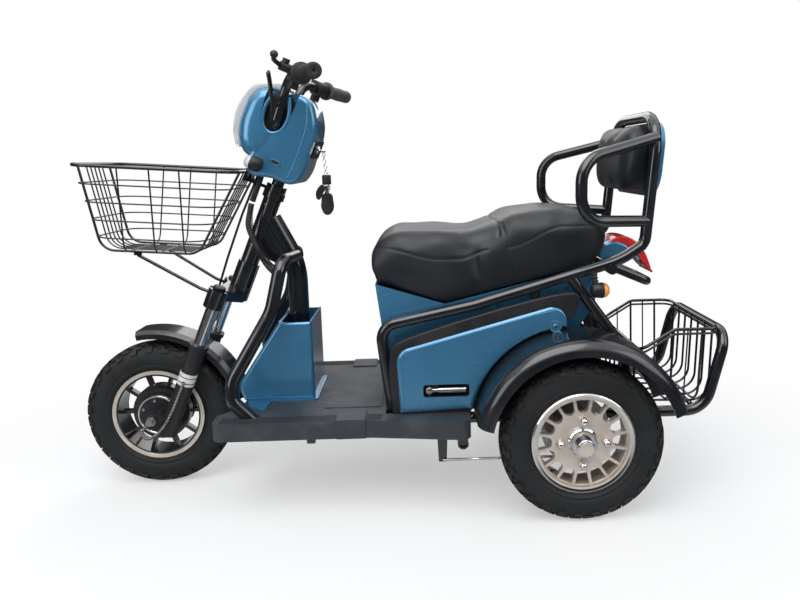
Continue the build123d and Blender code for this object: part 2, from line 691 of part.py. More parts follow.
# ---- side panels, each with a recess for the folded foot peg ----
def rail_rise_at(ahead):
    # the height of the seat rail's line at a distance ahead of the rear axle
    low, high = ((rail_corner_ahead, rail_corner_rise), (rail_mid_ahead, rail_mid_rise))
    if ahead < rail_mid_ahead:
        low, high = high, (rail_tail_ahead, rail_tail_rise)
    return low[1] + (high[1] - low[1]) * (ahead - low[0]) / (high[0] - low[0])


def panel_outline(inset):
    # the panel's side outline: straight edges and the arc over the fender
    arc = fender_radius + panel_gap + inset
    start, end = radians(panel_arc_start), radians(panel_arc_end)
    arc_points = [(arc * cos(a), arc * sin(a)) for a in (start, (start + end) / 2, end)]
    corners = [
        (panel_tail_ahead + inset, rail_rise_at(panel_tail_ahead) - panel_tail_drop - inset),
        (panel_front_ahead - inset, rail_rise_at(panel_front_ahead) - panel_front_drop - inset),
    ]
    with BuildLine() as outline:
        ThreePointArc(*arc_points)
        Polyline(
            arc_points[2],
            *corners,
            (panel_foot_ahead - inset, deck_top_rise + seat_gap + inset),
            arc_points[0],
        )
    make_face(outline.edges())
    for corner in corners:
        fillet(vertices().sort_by_distance(corner)[0], panel_corner - inset)


with BuildPart() as side_panel_left:
    with BuildSketch(body_side.offset(-panel_out)):
        panel_outline(0)
    extrude(amount=panel_out - fender_in)
    fillet(side_panel_left.faces().sort_by(Axis.Y)[-1].edges(), panel_round)
    with BuildSketch(body_side.offset(panel_sheet - panel_out)):
        panel_outline(panel_edge)
    extrude(amount=panel_out - fender_in, mode=Mode.SUBTRACT)
    with BuildSketch(body_side.offset(-panel_out)):
        with Locations(((tray_back + tray_front) / 2, (tray_low + tray_high) / 2)):
            RectangleRounded(tray_front - tray_back, tray_high - tray_low, tray_depth / 3)
    extrude(amount=panel_sheet, mode=Mode.SUBTRACT)
side_panel_left.part.label = "side_panel_left"
export_step(side_panel_left.part, "parts/side_panel_left.step")

with BuildPart() as side_panel_right:
    mirror(side_panel_left.part, about=Plane.XZ)
side_panel_right.part.label = "side_panel_right"
export_step(side_panel_right.part, "parts/side_panel_right.step")

with BuildPart() as peg_trays:
    tray_side = panel_out - panel_sheet
    peg_side = tray_side - tray_depth + tray_wall + peg_running + peg_radius
    for side in (1, -1):
        near, far = sorted((side * (tray_side - tray_depth), side * tray_side))
        with BuildSketch(body_side.offset(-far)):
            with Locations(((tray_back + tray_front) / 2, (tray_low + tray_high) / 2)):
                Rectangle(tray_front - tray_back + 2 * tray_margin, tray_high - tray_low + 2 * tray_margin)
        extrude(amount=tray_depth)
        near, far = sorted((side * (tray_side - tray_depth + tray_wall), side * (tray_side + past)))
        with BuildSketch(body_side.offset(-far)):
            with Locations(((tray_back + tray_front) / 2, (tray_low + tray_high) / 2)):
                RectangleRounded(tray_front - tray_back, tray_high - tray_low, tray_depth / 3)
        extrude(amount=far - near, mode=Mode.SUBTRACT)
        rod(
            behind(peg_pivot_ahead, peg_side * side, tray_low - past),
            behind(peg_pivot_ahead, peg_side * side, tray_high + past),
            peg_pin,
        )
peg_trays.part.label = "peg_trays"
export_step(peg_trays.part, "parts/peg_trays.step")

with BuildPart() as footpeg_left:
    peg_middle = (tray_low + tray_high) / 2
    rod(
        behind(peg_pivot_ahead, peg_side, peg_middle - peg_half_height),
        behind(peg_pivot_ahead, peg_side, peg_middle + peg_half_height),
        peg_radius,
    )
    rod(
        behind(peg_pivot_ahead, peg_side, peg_middle),
        behind(peg_pivot_ahead - peg_length / 3, peg_side, peg_middle),
        peg_radius - 2,
    )
    rod(
        behind(peg_pivot_ahead - peg_length / 4, peg_side, peg_middle),
        behind(peg_pivot_ahead - peg_length, peg_side, peg_middle),
        peg_radius,
    )
    rod(
        behind(peg_pivot_ahead, peg_side, peg_middle - 2 * peg_half_height),
        behind(peg_pivot_ahead, peg_side, peg_middle + 2 * peg_half_height),
        peg_pin + running_gap,
        mode=Mode.SUBTRACT,
    )
footpeg_left.part.label = "footpeg_left"
export_step(footpeg_left.part, "parts/footpeg_left.step")

with BuildPart() as footpeg_right:
    mirror(footpeg_left.part, about=Plane.XZ)
footpeg_right.part.label = "footpeg_right"
export_step(footpeg_right.part, "parts/footpeg_right.step")

# ---- fenders ----
fender_plane = Plane(
    origin=behind(0, 0, 0),
    x_dir=(0, 1, 0),
    z_dir=(sin(radians(fender_front_angle)), 0, -cos(radians(fender_front_angle))),
)
with BuildPart() as fender_left:
    half_turn = 1 - cos(radians(45))
    outer_turn = fender_shoulder * half_turn
    inner_turn = (fender_shoulder - fender_sheet) * half_turn + fender_sheet
    shoulder = fender_out - fender_shoulder
    with BuildSketch(fender_plane):
        with BuildLine():
            Polyline(
                (shoulder, fender_radius),
                (fender_in, fender_radius),
                (fender_in, fender_radius - fender_drop),
                (fender_in + fender_sheet, fender_radius - fender_drop),
                (fender_in + fender_sheet, fender_radius - fender_sheet),
                (shoulder, fender_radius - fender_sheet),
            )
            ThreePointArc(
                (shoulder, fender_radius - fender_sheet),
                (fender_out - inner_turn, fender_radius - inner_turn),
                (fender_out - fender_sheet, fender_radius - fender_shoulder),
            )
            Polyline(
                (fender_out - fender_sheet, fender_radius - fender_shoulder),
                (fender_out - fender_sheet, fender_radius - fender_lip),
                (fender_out, fender_radius - fender_lip),
                (fender_out, fender_radius - fender_shoulder),
            )
            ThreePointArc(
                (fender_out, fender_radius - fender_shoulder),
                (fender_out - outer_turn, fender_radius - outer_turn),
                (shoulder, fender_radius),
            )
        make_face()
    revolve(axis=rear_axis, revolution_arc=fender_tail_angle - fender_front_angle)
fender_left.part.label = "fender_left"
export_step(fender_left.part, "parts/fender_left.step")

with BuildPart() as fender_right:
    mirror(fender_left.part, about=Plane.XZ)
fender_right.part.label = "fender_right"
export_step(fender_right.part, "parts/fender_right.step")

# ---- seat ----
with BuildPart() as seat:
    plate(
        body_side,
        [
            (lid_front_ahead, lid_front_rise + seat_gap),
            (lid_front_ahead + seat_nose, lid_front_rise + 2 * seat_nose),
            (lid_front_ahead + seat_nose, lid_front_rise + seat_low_top - 3 * seat_nose),
            (lid_front_ahead - seat_nose / 2, lid_front_rise + seat_low_top - seat_nose),
            (lid_front_ahead - 3 * seat_nose, lid_front_rise + seat_low_top),
            (seat_dip_ahead + seat_dip_front, lid_front_rise + seat_low_top),
            (seat_dip_ahead, lid_front_rise + seat_low_top - seat_dip),
            (seat_dip_ahead - seat_step / 2, lid_front_rise + seat_low_top + seat_dip),
            (seat_dip_ahead - seat_step, lid_front_rise + seat_high_top - seat_step_drop),
            (seat_dip_ahead - seat_crest, lid_front_rise + seat_high_top),
            (lid_tail_ahead + seat_round, lid_front_rise + seat_high_top - seat_crest_drop),
            (lid_tail_ahead - seat_nose, lid_front_rise + seat_high_top - seat_tail_drop),
            (lid_tail_ahead - seat_tail_out, lid_tail_rise + 3 * seat_tail_drop),
            (lid_tail_ahead - seat_tail_out + seat_crest_drop, lid_tail_rise + seat_tail_mid),
            (lid_tail_ahead - seat_nose, lid_tail_rise + seat_tail_drop),
            (lid_tail_ahead, lid_tail_rise + seat_gap),
            (lid_mid_ahead, lid_mid_rise + seat_gap),
        ],
        -seat_half,
        seat_half,
    )
    sides = seat.faces().sort_by(Axis.Y)[-1].edges() + seat.faces().sort_by(Axis.Y)[0].edges()
    chamfer([e for e in sides if e.center().Z > tyre_radius + lid_front_rise + seat_round_from], seat_round)
seat.part.label = "seat"
export_step(seat.part, "parts/seat.step")

# ---- backrest pad and its cover plate, leaning with the hoop ----
back_rise = hypot(back_top_rise - hoop_base_rise, hoop_base_ahead - back_top_ahead)
hoop_face = Plane(
    origin=behind(back_top_ahead, 0, back_top_rise),
    x_dir=(0, 1, 0),
    z_dir=((back_top_rise - hoop_base_rise) / back_rise, 0, (hoop_base_ahead - back_top_ahead) / back_rise),
)
with BuildPart() as back_pad:
    with BuildSketch(hoop_face.offset(-frame_radius)):
        with Locations((0, -pad_drop)):
            RectangleRounded(2 * pad_half, pad_height, pad_round)
    extrude(amount=pad_depth)
    fillet(back_pad.faces().sort_by(Axis.X)[-1].edges(), pad_edge)
back_pad.part.label = "back_pad"
export_step(back_pad.part, "parts/back_pad.step")

with BuildPart() as back_plate:
    with BuildSketch(hoop_face.offset(-frame_radius - plate_sheet)):
        with Locations((0, -pad_drop)):
            RectangleRounded(2 * (back_half - 2), pad_height + 2 * plate_margin, pad_round + plate_margin)
    extrude(amount=plate_sheet)
back_plate.part.label = "back_plate"
export_step(back_plate.part, "parts/back_plate.step")

# ---- tail fairing, tail lamp, rear indicators ----
with BuildPart() as tail_fairing:
    plate(body_side, fairing_line + [fairing_foot], -fairing_half, fairing_half)
    for side in (1, -1):
        rod(
            (cross[0], grab_half * side, cross[2]),
            behind(grab_reach, grab_half * side, grab_rise),
            frame_radius,
            mode=Mode.SUBTRACT,
        )
    rod(
        (cross[0], -2 * cross[1], cross[2]),
        (cross[0], 2 * cross[1], cross[2]),
        frame_radius - past + seat_gap,
        mode=Mode.SUBTRACT,
    )
tail_fairing.part.label = "tail_fairing"
export_step(tail_fairing.part, "parts/tail_fairing.step")

with BuildPart() as tail_lamp:
    plate(body_side, fairing_line[2:] + lamp_line, -tail_lamp_half, tail_lamp_half)
tail_lamp.part.label = "tail_lamp"
export_step(tail_lamp.part, "parts/tail_lamp.step")

with BuildPart() as rear_indicators:
    for side in (1, -1):
        rod(
            behind(signal_front, signal_side * side, signal_rise),
            behind(signal_back, signal_side * side, signal_rise),
            signal_radius,
        )
        stalk_ahead = rail_mid_ahead - signal_back + signal_lens
        stalk = between(rail_mid, rail_tail, stalk_ahead / (rail_mid_ahead - rail_tail_ahead))
        rod(
            (stalk[0] + signal_lens, stalk[1] * side, stalk[2]),
            behind(
                (signal_front + signal_back) / 2,
                (signal_side - 2) * side,
                signal_rise + signal_radius / 2,
            ),
            signal_stalk,
        )
        rod(
            (rail_mid[0], rail_mid[1] * side, rail_mid[2]),
            (rail_tail[0], rail_tail[1] * side, rail_tail[2]),
            frame_radius,
            mode=Mode.SUBTRACT,
        )
rear_indicators.part.label = "rear_indicators"
export_step(rear_indicators.part, "parts/rear_indicators.step")

with BuildPart() as rear_indicator_lenses:
    for side in (1, -1):
        rod(
            behind(signal_back, signal_side * side, signal_rise),
            behind(signal_back - signal_lens, signal_side * side, signal_rise),
            signal_radius + past,
        )
rear_indicator_lenses.part.label = "rear_indicator_lenses"
export_step(rear_indicator_lenses.part, "parts/rear_indicator_lenses.step")

# ---- rear wheels ----
bead_half = tyre_width / 2 - bead_inset


def tyre_profile(plane, middle):
    # half section of a tyre: bead, sidewall, shoulder and crown
    half = tyre_width / 2
    right = [
        (middle + bead_half, rim_radius - 2 * rim_flange),
        (middle + bead_half, rim_radius + rim_flange / 2),
        (middle + half - sidewall_in, rim_radius + sidewall_low),
        (middle + half, rim_radius + sidewall_mid),
        (middle + half - sidewall_in, tyre_radius - sidewall_high),
        (middle + half - shoulder_in, tyre_radius - shoulder_drop),
        (middle + crown_half, tyre_radius),
    ]
    with BuildSketch(plane) as section:
        with BuildLine():
            Polyline(
                *right,
                *[(2 * middle - along, height) for along, height in reversed(right)],
                close=True,
            )
        make_face()
    return section.sketch


def rim_barrel(plane, middle, axis):
    # the barrel under the beads and the two flanges beside them
    seat_radius = rim_radius - 2 * rim_flange
    revolve(
        ring(plane, middle - bead_half, middle + bead_half, seat_radius - rim_wall, seat_radius),
        axis=axis,
    )
    for edge in (-1, 1):
        flange = middle + edge * (bead_half + rim_flange / 2)
        revolve(
            ring(plane, flange - rim_flange / 2, flange + rim_flange / 2, seat_radius - rim_wall, rim_radius),
            axis=axis,
        )


with BuildPart() as tyre_left:
    revolve(tyre_profile(rear_wheel_plane, rear_half_track), axis=rear_axis)
tyre_left.part.label = "tyre_left"
export_step(tyre_left.part, "parts/tyre_left.step")

with BuildPart() as tyre_right:
    mirror(tyre_left.part, about=Plane.XZ)
tyre_right.part.label = "tyre_right"
export_step(tyre_right.part, "parts/tyre_right.step")

with BuildPart() as rim_left:
    rim_barrel(rear_wheel_plane, rear_half_track, rear_axis)
    disc_side = rear_half_track + disc_offset
    disc_face = Plane(origin=behind(0, disc_side, 0), x_dir=(1, 0, 0), z_dir=(0, 1, 0))
    with BuildSketch(disc_face) as disc:
        Circle(rim_radius - 2 * rim_flange - past)
        Circle(axle_radius + running_gap, mode=Mode.SUBTRACT)
    with BuildSketch(Plane.XY) as slot:
        with BuildLine() as slot_line:
            Polyline(
                (slot_in, slot_round),
                (slot_out, slot_half),
                (slot_out, -slot_half),
                (slot_in, -slot_round),
            )
            ThreePointArc((slot_in, -slot_round), (slot_in - slot_round, 0), (slot_in, slot_round))
        make_face(slot_line.edges())
    with BuildSketch(disc_face) as spokes:
        add(disc.sketch_local)
        with PolarLocations(0, rear_spokes):
            add(slot.sketch_local, mode=Mode.SUBTRACT)
    extrude(spokes.sketch, amount=disc_sheet)
    revolve(ring(rear_wheel_plane, hub_in, hub_out, axle_radius + running_gap, hub_radius), axis=rear_axis)
    with BuildSketch(disc_face.offset(disc_sheet)) as nuts:
        with PolarLocations(nut_circle, nut_count):
            RegularPolygon(nut_radius, 6)
    extrude(nuts.sketch, amount=nut_height)
rim_left.part.label = "rim_left"
export_step(rim_left.part, "parts/rim_left.step")

with BuildPart() as rim_right:
    mirror(rim_left.part, about=Plane.XZ)
rim_right.part.label = "rim_right"
export_step(rim_right.part, "parts/rim_right.step")

with BuildPart() as hub_cap_left:
    rod(behind(0, hub_out, 0), behind(0, hub_out + cap_height, 0), cap_radius)
    rod(
        behind(0, hub_out + cap_height, 0),
        behind(0, hub_out + cap_height + cap_nose, 0),
        cap_radius - cap_step,
    )
    fillet(hub_cap_left.faces().sort_by(Axis.Y)[-1].edges(), cap_round)
hub_cap_left.part.label = "hub_cap_left"
export_step(hub_cap_left.part, "parts/hub_cap_left.step")

with BuildPart() as hub_cap_right:
    mirror(hub_cap_left.part, about=Plane.XZ)
hub_cap_right.part.label = "hub_cap_right"
export_step(hub_cap_right.part, "parts/hub_cap_right.step")

with BuildPart() as rear_axle:
    rod(behind(0, 2 - hub_out, 0), behind(0, hub_out - 2, 0), axle_radius)
rear_axle.part.label = "rear_axle"
export_step(rear_axle.part, "parts/rear_axle.step")

with BuildPart() as brake_plates:
    for side in (1, -1):
        rod(
            behind(0, axle_housing_half * side, 0),
            behind(0, (axle_housing_half + brake_gap) * side, 0),
            axle_housing_radius + plate_boss,
        )
        rod(
            behind(0, (axle_housing_half + brake_gap - brake_sheet) * side, 0),
            behind(0, (axle_housing_half + brake_gap) * side, 0),
            plate_radius,
        )
        arm = [
            (-axle_housing_radius / 2, -plate_arm_drop),
            (plate_arm_out, -plate_arm_drop - plate_tip),
            (plate_arm_out, -plate_arm_drop),
            (axle_housing_radius, -axle_housing_radius),
            (0, -axle_housing_radius),
        ]
        near, far = (axle_housing_half - brake_seat) * side, (axle_housing_half + brake_gap - past) * side
        plate(body_side, arm, min(near, far), max(near, far))
    rod(
        behind(0, -rear_half_track, 0),
        behind(0, rear_half_track, 0),
        axle_radius + running_gap,
        mode=Mode.SUBTRACT,
    )
brake_plates.part.label = "brake_plates"
export_step(brake_plates.part, "parts/brake_plates.step")

with BuildPart() as brake_rods:
    for side in (1, -1):
        rod_side = (floor_rail_half + frame_radius + rod_radius + seat_gap) * side
        rod(
            behind(bracket_rear_ahead, rod_side, floor_rail_rise - bracket_rear_drop + 2 * rod_radius),
            behind(
                plate_arm_out + seat_gap,
                (axle_housing_half + brake_gap / 3) * side,
                -plate_arm_drop - plate_tip / 2,
            ),
            rod_radius,
        )
brake_rods.part.label = "brake_rods"
export_step(brake_rods.part, "parts/brake_rods.step")

# ---- front wheel ----
with BuildPart() as tyre_front:
    revolve(tyre_profile(front_wheel_plane, 0), axis=front_axis)
tyre_front.part.label = "tyre_front"
export_step(tyre_front.part, "parts/tyre_front.step")

with BuildPart() as rim_front:
    rim_barrel(front_wheel_plane, 0, front_axis)
    barrel = rim_radius - 2 * rim_flange - rim_wall / 2
    with BuildSketch(Plane(origin=before(0, -front_spoke_depth / 2, 0), x_dir=(1, 0, 0), z_dir=(0, 1, 0))):
        with PolarLocations((barrel + motor_radius) / 2, front_spokes):
            Rectangle(barrel - motor_radius - seat_gap, front_spoke_width)
    extrude(amount=front_spoke_depth)
    revolve(
        ring(front_wheel_plane, -ring_half, ring_half, motor_radius, motor_radius + ring_wall),
        axis=front_axis,
    )
rim_front.part.label = "rim_front"
export_step(rim_front.part, "parts/rim_front.step")

with BuildPart() as hub_motor:
    bore = axle_radius + running_gap
    revolve(ring(front_wheel_plane, -drum_half, drum_half, bore, motor_radius), axis=front_axis)
    revolve(ring(front_wheel_plane, -motor_half, motor_half, bore, cover_radius), axis=front_axis)
    chamfer(
        [e for e in hub_motor.edges() if abs(abs(e.center().Y) - motor_half) < past and e.length > 6 * cover_radius],
        motor_round,
    )
hub_motor.part.label = "hub_motor"
export_step(hub_motor.part, "parts/hub_motor.step")

with BuildPart() as front_axle:
    lug_out = leg_half_gap + lug_sheet / 2
    rod(before(0, -lug_out - 2 * nut_sheet, 0), before(0, lug_out + 2 * nut_sheet, 0), axle_radius)
    for side in (1, -1):
        with BuildSketch(Plane(origin=before(0, lug_out * side, 0), x_dir=(1, 0, 0), z_dir=(0, side, 0))):
            RegularPolygon(nut_across, 6)
        extrude(amount=nut_sheet)
front_axle.part.label = "front_axle"
export_step(front_axle.part, "parts/front_axle.step")

# ---- fork ----
with BuildPart() as fork_crown:
    rod(on_fork(0, 0, leg_top), on_fork(0, 0, head_low - seat_gap), head_radius + cup_lip)
    rod(on_fork(0, 0, leg_top), on_fork(0, 0, stem_top), stem_radius)
    crown_radius = leg_radius + crown_wall
    for side in (1, -1):
        rod(
            on_fork(leg_lead, leg_half_gap * side, leg_top - crown_sink),
            on_fork(leg_lead, leg_half_gap * side, leg_top + crown_height - 2),
            crown_radius,
        )
    with BuildSketch(steer.offset(leg_top - 2)):
        with BuildLine():
            Polyline(
                (-head_radius, head_radius),
                (-head_radius, -head_radius),
                (leg_lead - head_radius, -leg_half_gap),
                (leg_lead + head_radius, -leg_half_gap),
                (leg_lead + cup_lip, -head_radius),
                (leg_lead + cup_lip, head_radius),
                (leg_lead + head_radius, leg_half_gap),
                (leg_lead - head_radius, leg_half_gap),
                (-head_radius, head_radius),
            )
        make_face()
    extrude(amount=crown_height + 2)
    for side in (1, -1):
        rod(
            on_fork(leg_lead, leg_half_gap * side, leg_top - 2 * crown_sink),
            on_fork(leg_lead, leg_half_gap * side, leg_top),
            leg_radius,
            mode=Mode.SUBTRACT,
        )
fork_crown.part.label = "fork_crown"
export_step(fork_crown.part, "parts/fork_crown.step")

with BuildPart() as fork_tubes:
    for side in (1, -1):
        rod(
            on_fork(leg_lead, leg_half_gap * side, seal_height - leg_bore_depth),
            on_fork(leg_lead, leg_half_gap * side, leg_top),
            leg_radius,
        )
fork_tubes.part.label = "fork_tubes"
export_step(fork_tubes.part, "parts/fork_tubes.step")

with BuildPart() as fork_sliders:
    for side in (1, -1):
        rod(
            on_fork(leg_lead, leg_half_gap * side, leg_foot),
            on_fork(leg_lead, leg_half_gap * side, seal_height),
            slider_radius,
        )
        rod(
            on_fork(leg_lead, leg_half_gap * side, seal_height - seal_depth),
            on_fork(leg_lead, leg_half_gap * side, seal_height),
            slider_radius + seal_lip,
        )
        near, far = sorted(((leg_half_gap - lug_sheet / 2) * side, (leg_half_gap + lug_sheet / 2) * side))
        with BuildSketch(fork_side.offset(-far)):
            with Locations(((leg_lead + axis_setback) / 2, 0)):
                SlotCenterToCenter(axis_setback - leg_lead, lug_width)
        extrude(amount=lug_sheet)
        rod(
            on_fork(leg_lead, leg_half_gap * side, seal_height - leg_bore_depth),
            on_fork(leg_lead, leg_half_gap * side, seal_height + past),
            leg_radius,
            mode=Mode.SUBTRACT,
        )
    rod(before(0, -2 * leg_half_gap, 0), before(0, 2 * leg_half_gap, 0), axle_radius, mode=Mode.SUBTRACT)
fork_sliders.part.label = "fork_sliders"
export_step(fork_sliders.part, "parts/fork_sliders.step")

# ---- front mudguard ----
guard_plane = Plane(
    origin=before(0, 0, 0),
    x_dir=(0, 1, 0),
    z_dir=(sin(radians(guard_start)), 0, -cos(radians(guard_start))),
)
with BuildPart() as mudguard:
    inner = guard_half - guard_sheet
    with BuildSketch(guard_plane):
        with BuildLine():
            Polyline(
                (guard_half, guard_radius - guard_skirt),
                (guard_half, guard_radius - guard_bevel),
                (guard_half - guard_bevel, guard_radius),
                (guard_bevel - guard_half, guard_radius),
                (-guard_half, guard_radius - guard_bevel),
                (-guard_half, guard_radius - guard_skirt),
                (-inner, guard_radius - guard_skirt),
                (-inner, guard_radius - guard_bevel - past),
                (guard_bevel - inner - past, guard_radius - guard_sheet),
                (inner - guard_bevel + past, guard_radius - guard_sheet),
                (inner, guard_radius - guard_bevel - past),
                (inner, guard_radius - guard_skirt),
                close=True,
            )
        make_face()
    revolve(axis=front_axis, revolution_arc=guard_arc)
    for side in (1, -1):
        rod(
            on_fork(leg_lead, (guard_half - past) * side, guard_lug_up),
            on_fork(leg_lead, (leg_half_gap - slider_radius) * side, guard_lug_up),
            guard_lug_radius,
        )
mudguard.part.label = "mudguard"
export_step(mudguard.part, "parts/mudguard.step")

# ---- handlebar, grips and controls ----
grip_root = on_fork(riser_ahead + riser_slant, riser_half_gap, bar_high)
grip_tip = on_fork(grip_back, grip_out, grip_up)
grip_run = Vector(*grip_tip) - Vector(*grip_root)
grip_ahead_way = grip_run.cross(steer.z_dir).normalized()


def along_grip(distance, side, ahead=0.0, up=0.0):
    # a point on the grip's line, measured inward from its end
    point = Vector(*grip_tip) - grip_run.normalized() * distance
    point += grip_ahead_way * ahead + steer.z_dir * up
    return (point.X, point.Y * side, point.Z)


with BuildPart() as handlebar:
    for side in (1, -1):
        tube(
            [
                on_fork(riser_ahead, 0, bar_low),
                on_fork(riser_ahead, riser_half_gap * side, bar_low),
                on_fork(riser_ahead + riser_slant, riser_half_gap * side, bar_high),
                along_grip(0, side),
            ],
            bar_radius,
            riser_bends,
        )
    with BuildSketch(steer.offset(bar_low - clamp_height / 2)):
        with Locations((riser_ahead / 2, 0)):
            RectangleRounded(clamp_length, clamp_width, clamp_round)
    extrude(amount=clamp_height)
    rod(on_fork(0, 0, bar_low - clamp_height), on_fork(0, 0, stem_top), stem_radius, mode=Mode.SUBTRACT)
handlebar.part.label = "handlebar"
export_step(handlebar.part, "parts/handlebar.step")

with BuildPart() as grips:
    for side in (1, -1):
        rod(along_grip(-grip_cap, side), along_grip(grip_length, side), grip_radius)
        rod(
            along_grip(grip_length - flange_sheet, side),
            along_grip(grip_length, side),
            grip_radius + grip_flange,
        )
        rod(along_grip(0, side), along_grip(grip_length + past, side), bar_radius, mode=Mode.SUBTRACT)
grips.part.label = "grips"
export_step(grips.part, "parts/grips.step")

with BuildPart() as brake_levers:
    perch = grip_length + seat_gap
    for side in (1, -1):
        middle = perch + perch_length / 2
        rod(along_grip(perch, side), along_grip(perch + perch_length, side), bar_radius + perch_wall)
        rod(
            along_grip(middle, side, ahead=bar_radius),
            along_grip(middle, side, ahead=pivot_reach),
            pivot_radius,
        )
        rod(
            along_grip(middle, side, ahead=pivot_reach - pivot_radius),
            along_grip(middle, side, ahead=pivot_reach - pivot_radius, up=mirror_depth + mirror_hole),
            pivot_radius - 2,
        )
        tube(
            [
                along_grip(middle, side, ahead=pivot_reach - 2),
                along_grip(
                    grip_length - 2 * lever_inset,
                    side,
                    ahead=(pivot_reach + lever_ahead) / 2 + lever_sweep,
                ),
                along_grip(lever_inset, side, ahead=lever_ahead),
            ],
            lever_radius,
            [lever_bend],
        )
        with Locations(along_grip(lever_inset, side, ahead=lever_ahead)):
            Sphere(lever_ball)
        rod(
            along_grip(middle, side, ahead=pivot_reach - pivot_radius, up=mirror_hole),
            along_grip(middle, side, ahead=pivot_reach - pivot_radius, up=2 * mirror_depth),
            mirror_hole,
            mode=Mode.SUBTRACT,
        )
        rod(
            along_grip(grip_length - past, side),
            along_grip(perch + perch_length + past, side),
            bar_radius,
            mode=Mode.SUBTRACT,
        )
brake_levers.part.label = "brake_levers"
export_step(brake_levers.part, "parts/brake_levers.step")

with BuildPart() as switch_pods:
    pod = perch + perch_length + seat_gap
    for side in (1, -1):
        rod(along_grip(pod, side), along_grip(pod + pod_length, side), bar_radius + pod_wall)
        rod(
            along_grip(pod + pod_length / 2, side, up=-bar_radius),
            along_grip(pod + pod_length / 2, side, up=-pod_drop),
            pod_radius,
        )
        rod(
            along_grip(pod - past, side),
            along_grip(pod + pod_length + past, side),
            bar_radius,
            mode=Mode.SUBTRACT,
        )
switch_pods.part.label = "switch_pods"
export_step(switch_pods.part, "parts/switch_pods.step")


# ---- head housing, dash panel and lamp ----
def housing_line(inset):
    # the housing's side outline, or the one of the space inside it
    return [
        (housing_front - 2 * inset, lens_high - 2 * inset),
        (housing_front + lens_bow - 3 * inset, housing_brow_up),
        (housing_front - 2 * inset, lens_low + inset),
        (housing_front - housing_chin - 4 * inset, housing_chin_up + inset / 2),
        (housing_throat_ahead - inset, housing_throat_up + inset),
        (housing_foot_ahead - inset, housing_low + inset),
        (housing_heel_ahead + inset, housing_low + housing_heel_lift + inset),
        (housing_back + inset, housing_heel_up + inset / 2),
        (housing_back + inset, dash_high + 2 - inset / 2),
        (housing_shoulder_ahead + inset / 2, housing_shoulder_up - inset),
        (housing_crown_ahead + inset / 2, housing_high + housing_crown_lift - inset),
        (housing_top_ahead - inset / 2, housing_high - inset),
    ]


with BuildPart() as head_housing:
    plate(fork_side, housing_line(0), -housing_half, housing_half)
    side_edges = [e for e in head_housing.edges() if abs(abs(e.center().Y) - housing_half) < past]
    fillet(side_edges, housing_round)
    plate(fork_side, housing_line(housing_sheet), -housing_cavity, housing_cavity, mode=Mode.SUBTRACT)
    rod(
        on_fork(0, 0, housing_low - 2 * housing_sheet),
        on_fork(0, 0, housing_low + housing_stem_depth),
        stem_radius + stem_clearance,
        mode=Mode.SUBTRACT,
    )
    for side in (1, -1):
        rod(
            on_fork(riser_ahead, 0, bar_low),
            on_fork(riser_ahead, (housing_half + past) * side, bar_low),
            bar_radius + bar_clearance,
            mode=Mode.SUBTRACT,
        )
        with BuildSketch(steer.offset(bar_low - channel_sink)):
            with Locations((riser_ahead + riser_slant / 3, (channel_side + channel_width / 2) * side)):
                Rectangle(channel_length, channel_width)
        extrude(amount=housing_high - bar_low + 4 * channel_sink, mode=Mode.SUBTRACT)
head_housing.part.label = "head_housing"
export_step(head_housing.part, "parts/head_housing.step")

with BuildPart() as dash_panel:
    dash_middle = on_fork(housing_back, 0, (dash_low + dash_high) / 2)
    with BuildSketch(Plane(origin=dash_middle, x_dir=(0, 1, 0), z_dir=-steer.x_dir)):
        RectangleRounded(2 * dash_half, dash_high - dash_low, dash_round)
    extrude(amount=dash_sheet)
dash_panel.part.label = "dash_panel"
export_step(dash_panel.part, "parts/dash_panel.step")

with BuildPart() as key_fob:
    key_top = on_fork(housing_back - dash_sheet - key_depth, key_side, key_up)
    rod(on_fork(housing_back - dash_sheet, key_side, key_up), key_top, key_radius)
    hang = (key_top[0], key_top[1], key_top[2] - chain_length)
    rod((key_top[0] + 2, key_top[1], key_top[2]), (key_top[0] + 2, key_top[1], key_top[2] - chain_length), 2)
    key_plane = Plane(origin=(hang[0], key_side + fob_sheet / 2, hang[2]), x_dir=(1, 0, 0), z_dir=(0, -1, 0))
    with BuildSketch(key_plane):
        with Locations((0, -tag_length / 2)):
            RectangleRounded(tag_width, tag_length, tag_round)
        with Locations((-2, -tag_length - fob_length / 2)):
            RectangleRounded(fob_width, fob_length, fob_round)
    extrude(amount=fob_sheet)
key_fob.part.label = "key_fob"
export_step(key_fob.part, "parts/key_fob.step")

with BuildPart() as headlamp_lens:
    plate(
        fork_side,
        [
            (housing_front, lens_low),
            (housing_front + lens_bow, housing_brow_up),
            (housing_front, lens_high),
            (housing_front + lens_bulge - lens_bow, lens_high - lens_slope),
            (housing_front + lens_bulge, housing_brow_up),
            (housing_front + lens_bulge - lens_slope, lens_low + lens_bow),
        ],
        housing_round - housing_half,
        housing_half - housing_round,
    )
headlamp_lens.part.label = "headlamp_lens"
export_step(headlamp_lens.part, "parts/headlamp_lens.step")

with BuildPart() as front_indicators:
    for side in (1, -1):
        rod(
            on_fork(lamp_back, lamp_out * side, lamp_up),
            on_fork(lamp_front, lamp_out * side, lamp_up),
            lamp_radius,
        )
        stalk_ahead = (lamp_back + lamp_front) / 2
        rod(
            on_fork(stalk_ahead, housing_half * side, lamp_up),
            on_fork(stalk_ahead, lamp_out * side, lamp_up),
            lamp_stalk,
        )
front_indicators.part.label = "front_indicators"
export_step(front_indicators.part, "parts/front_indicators.step")

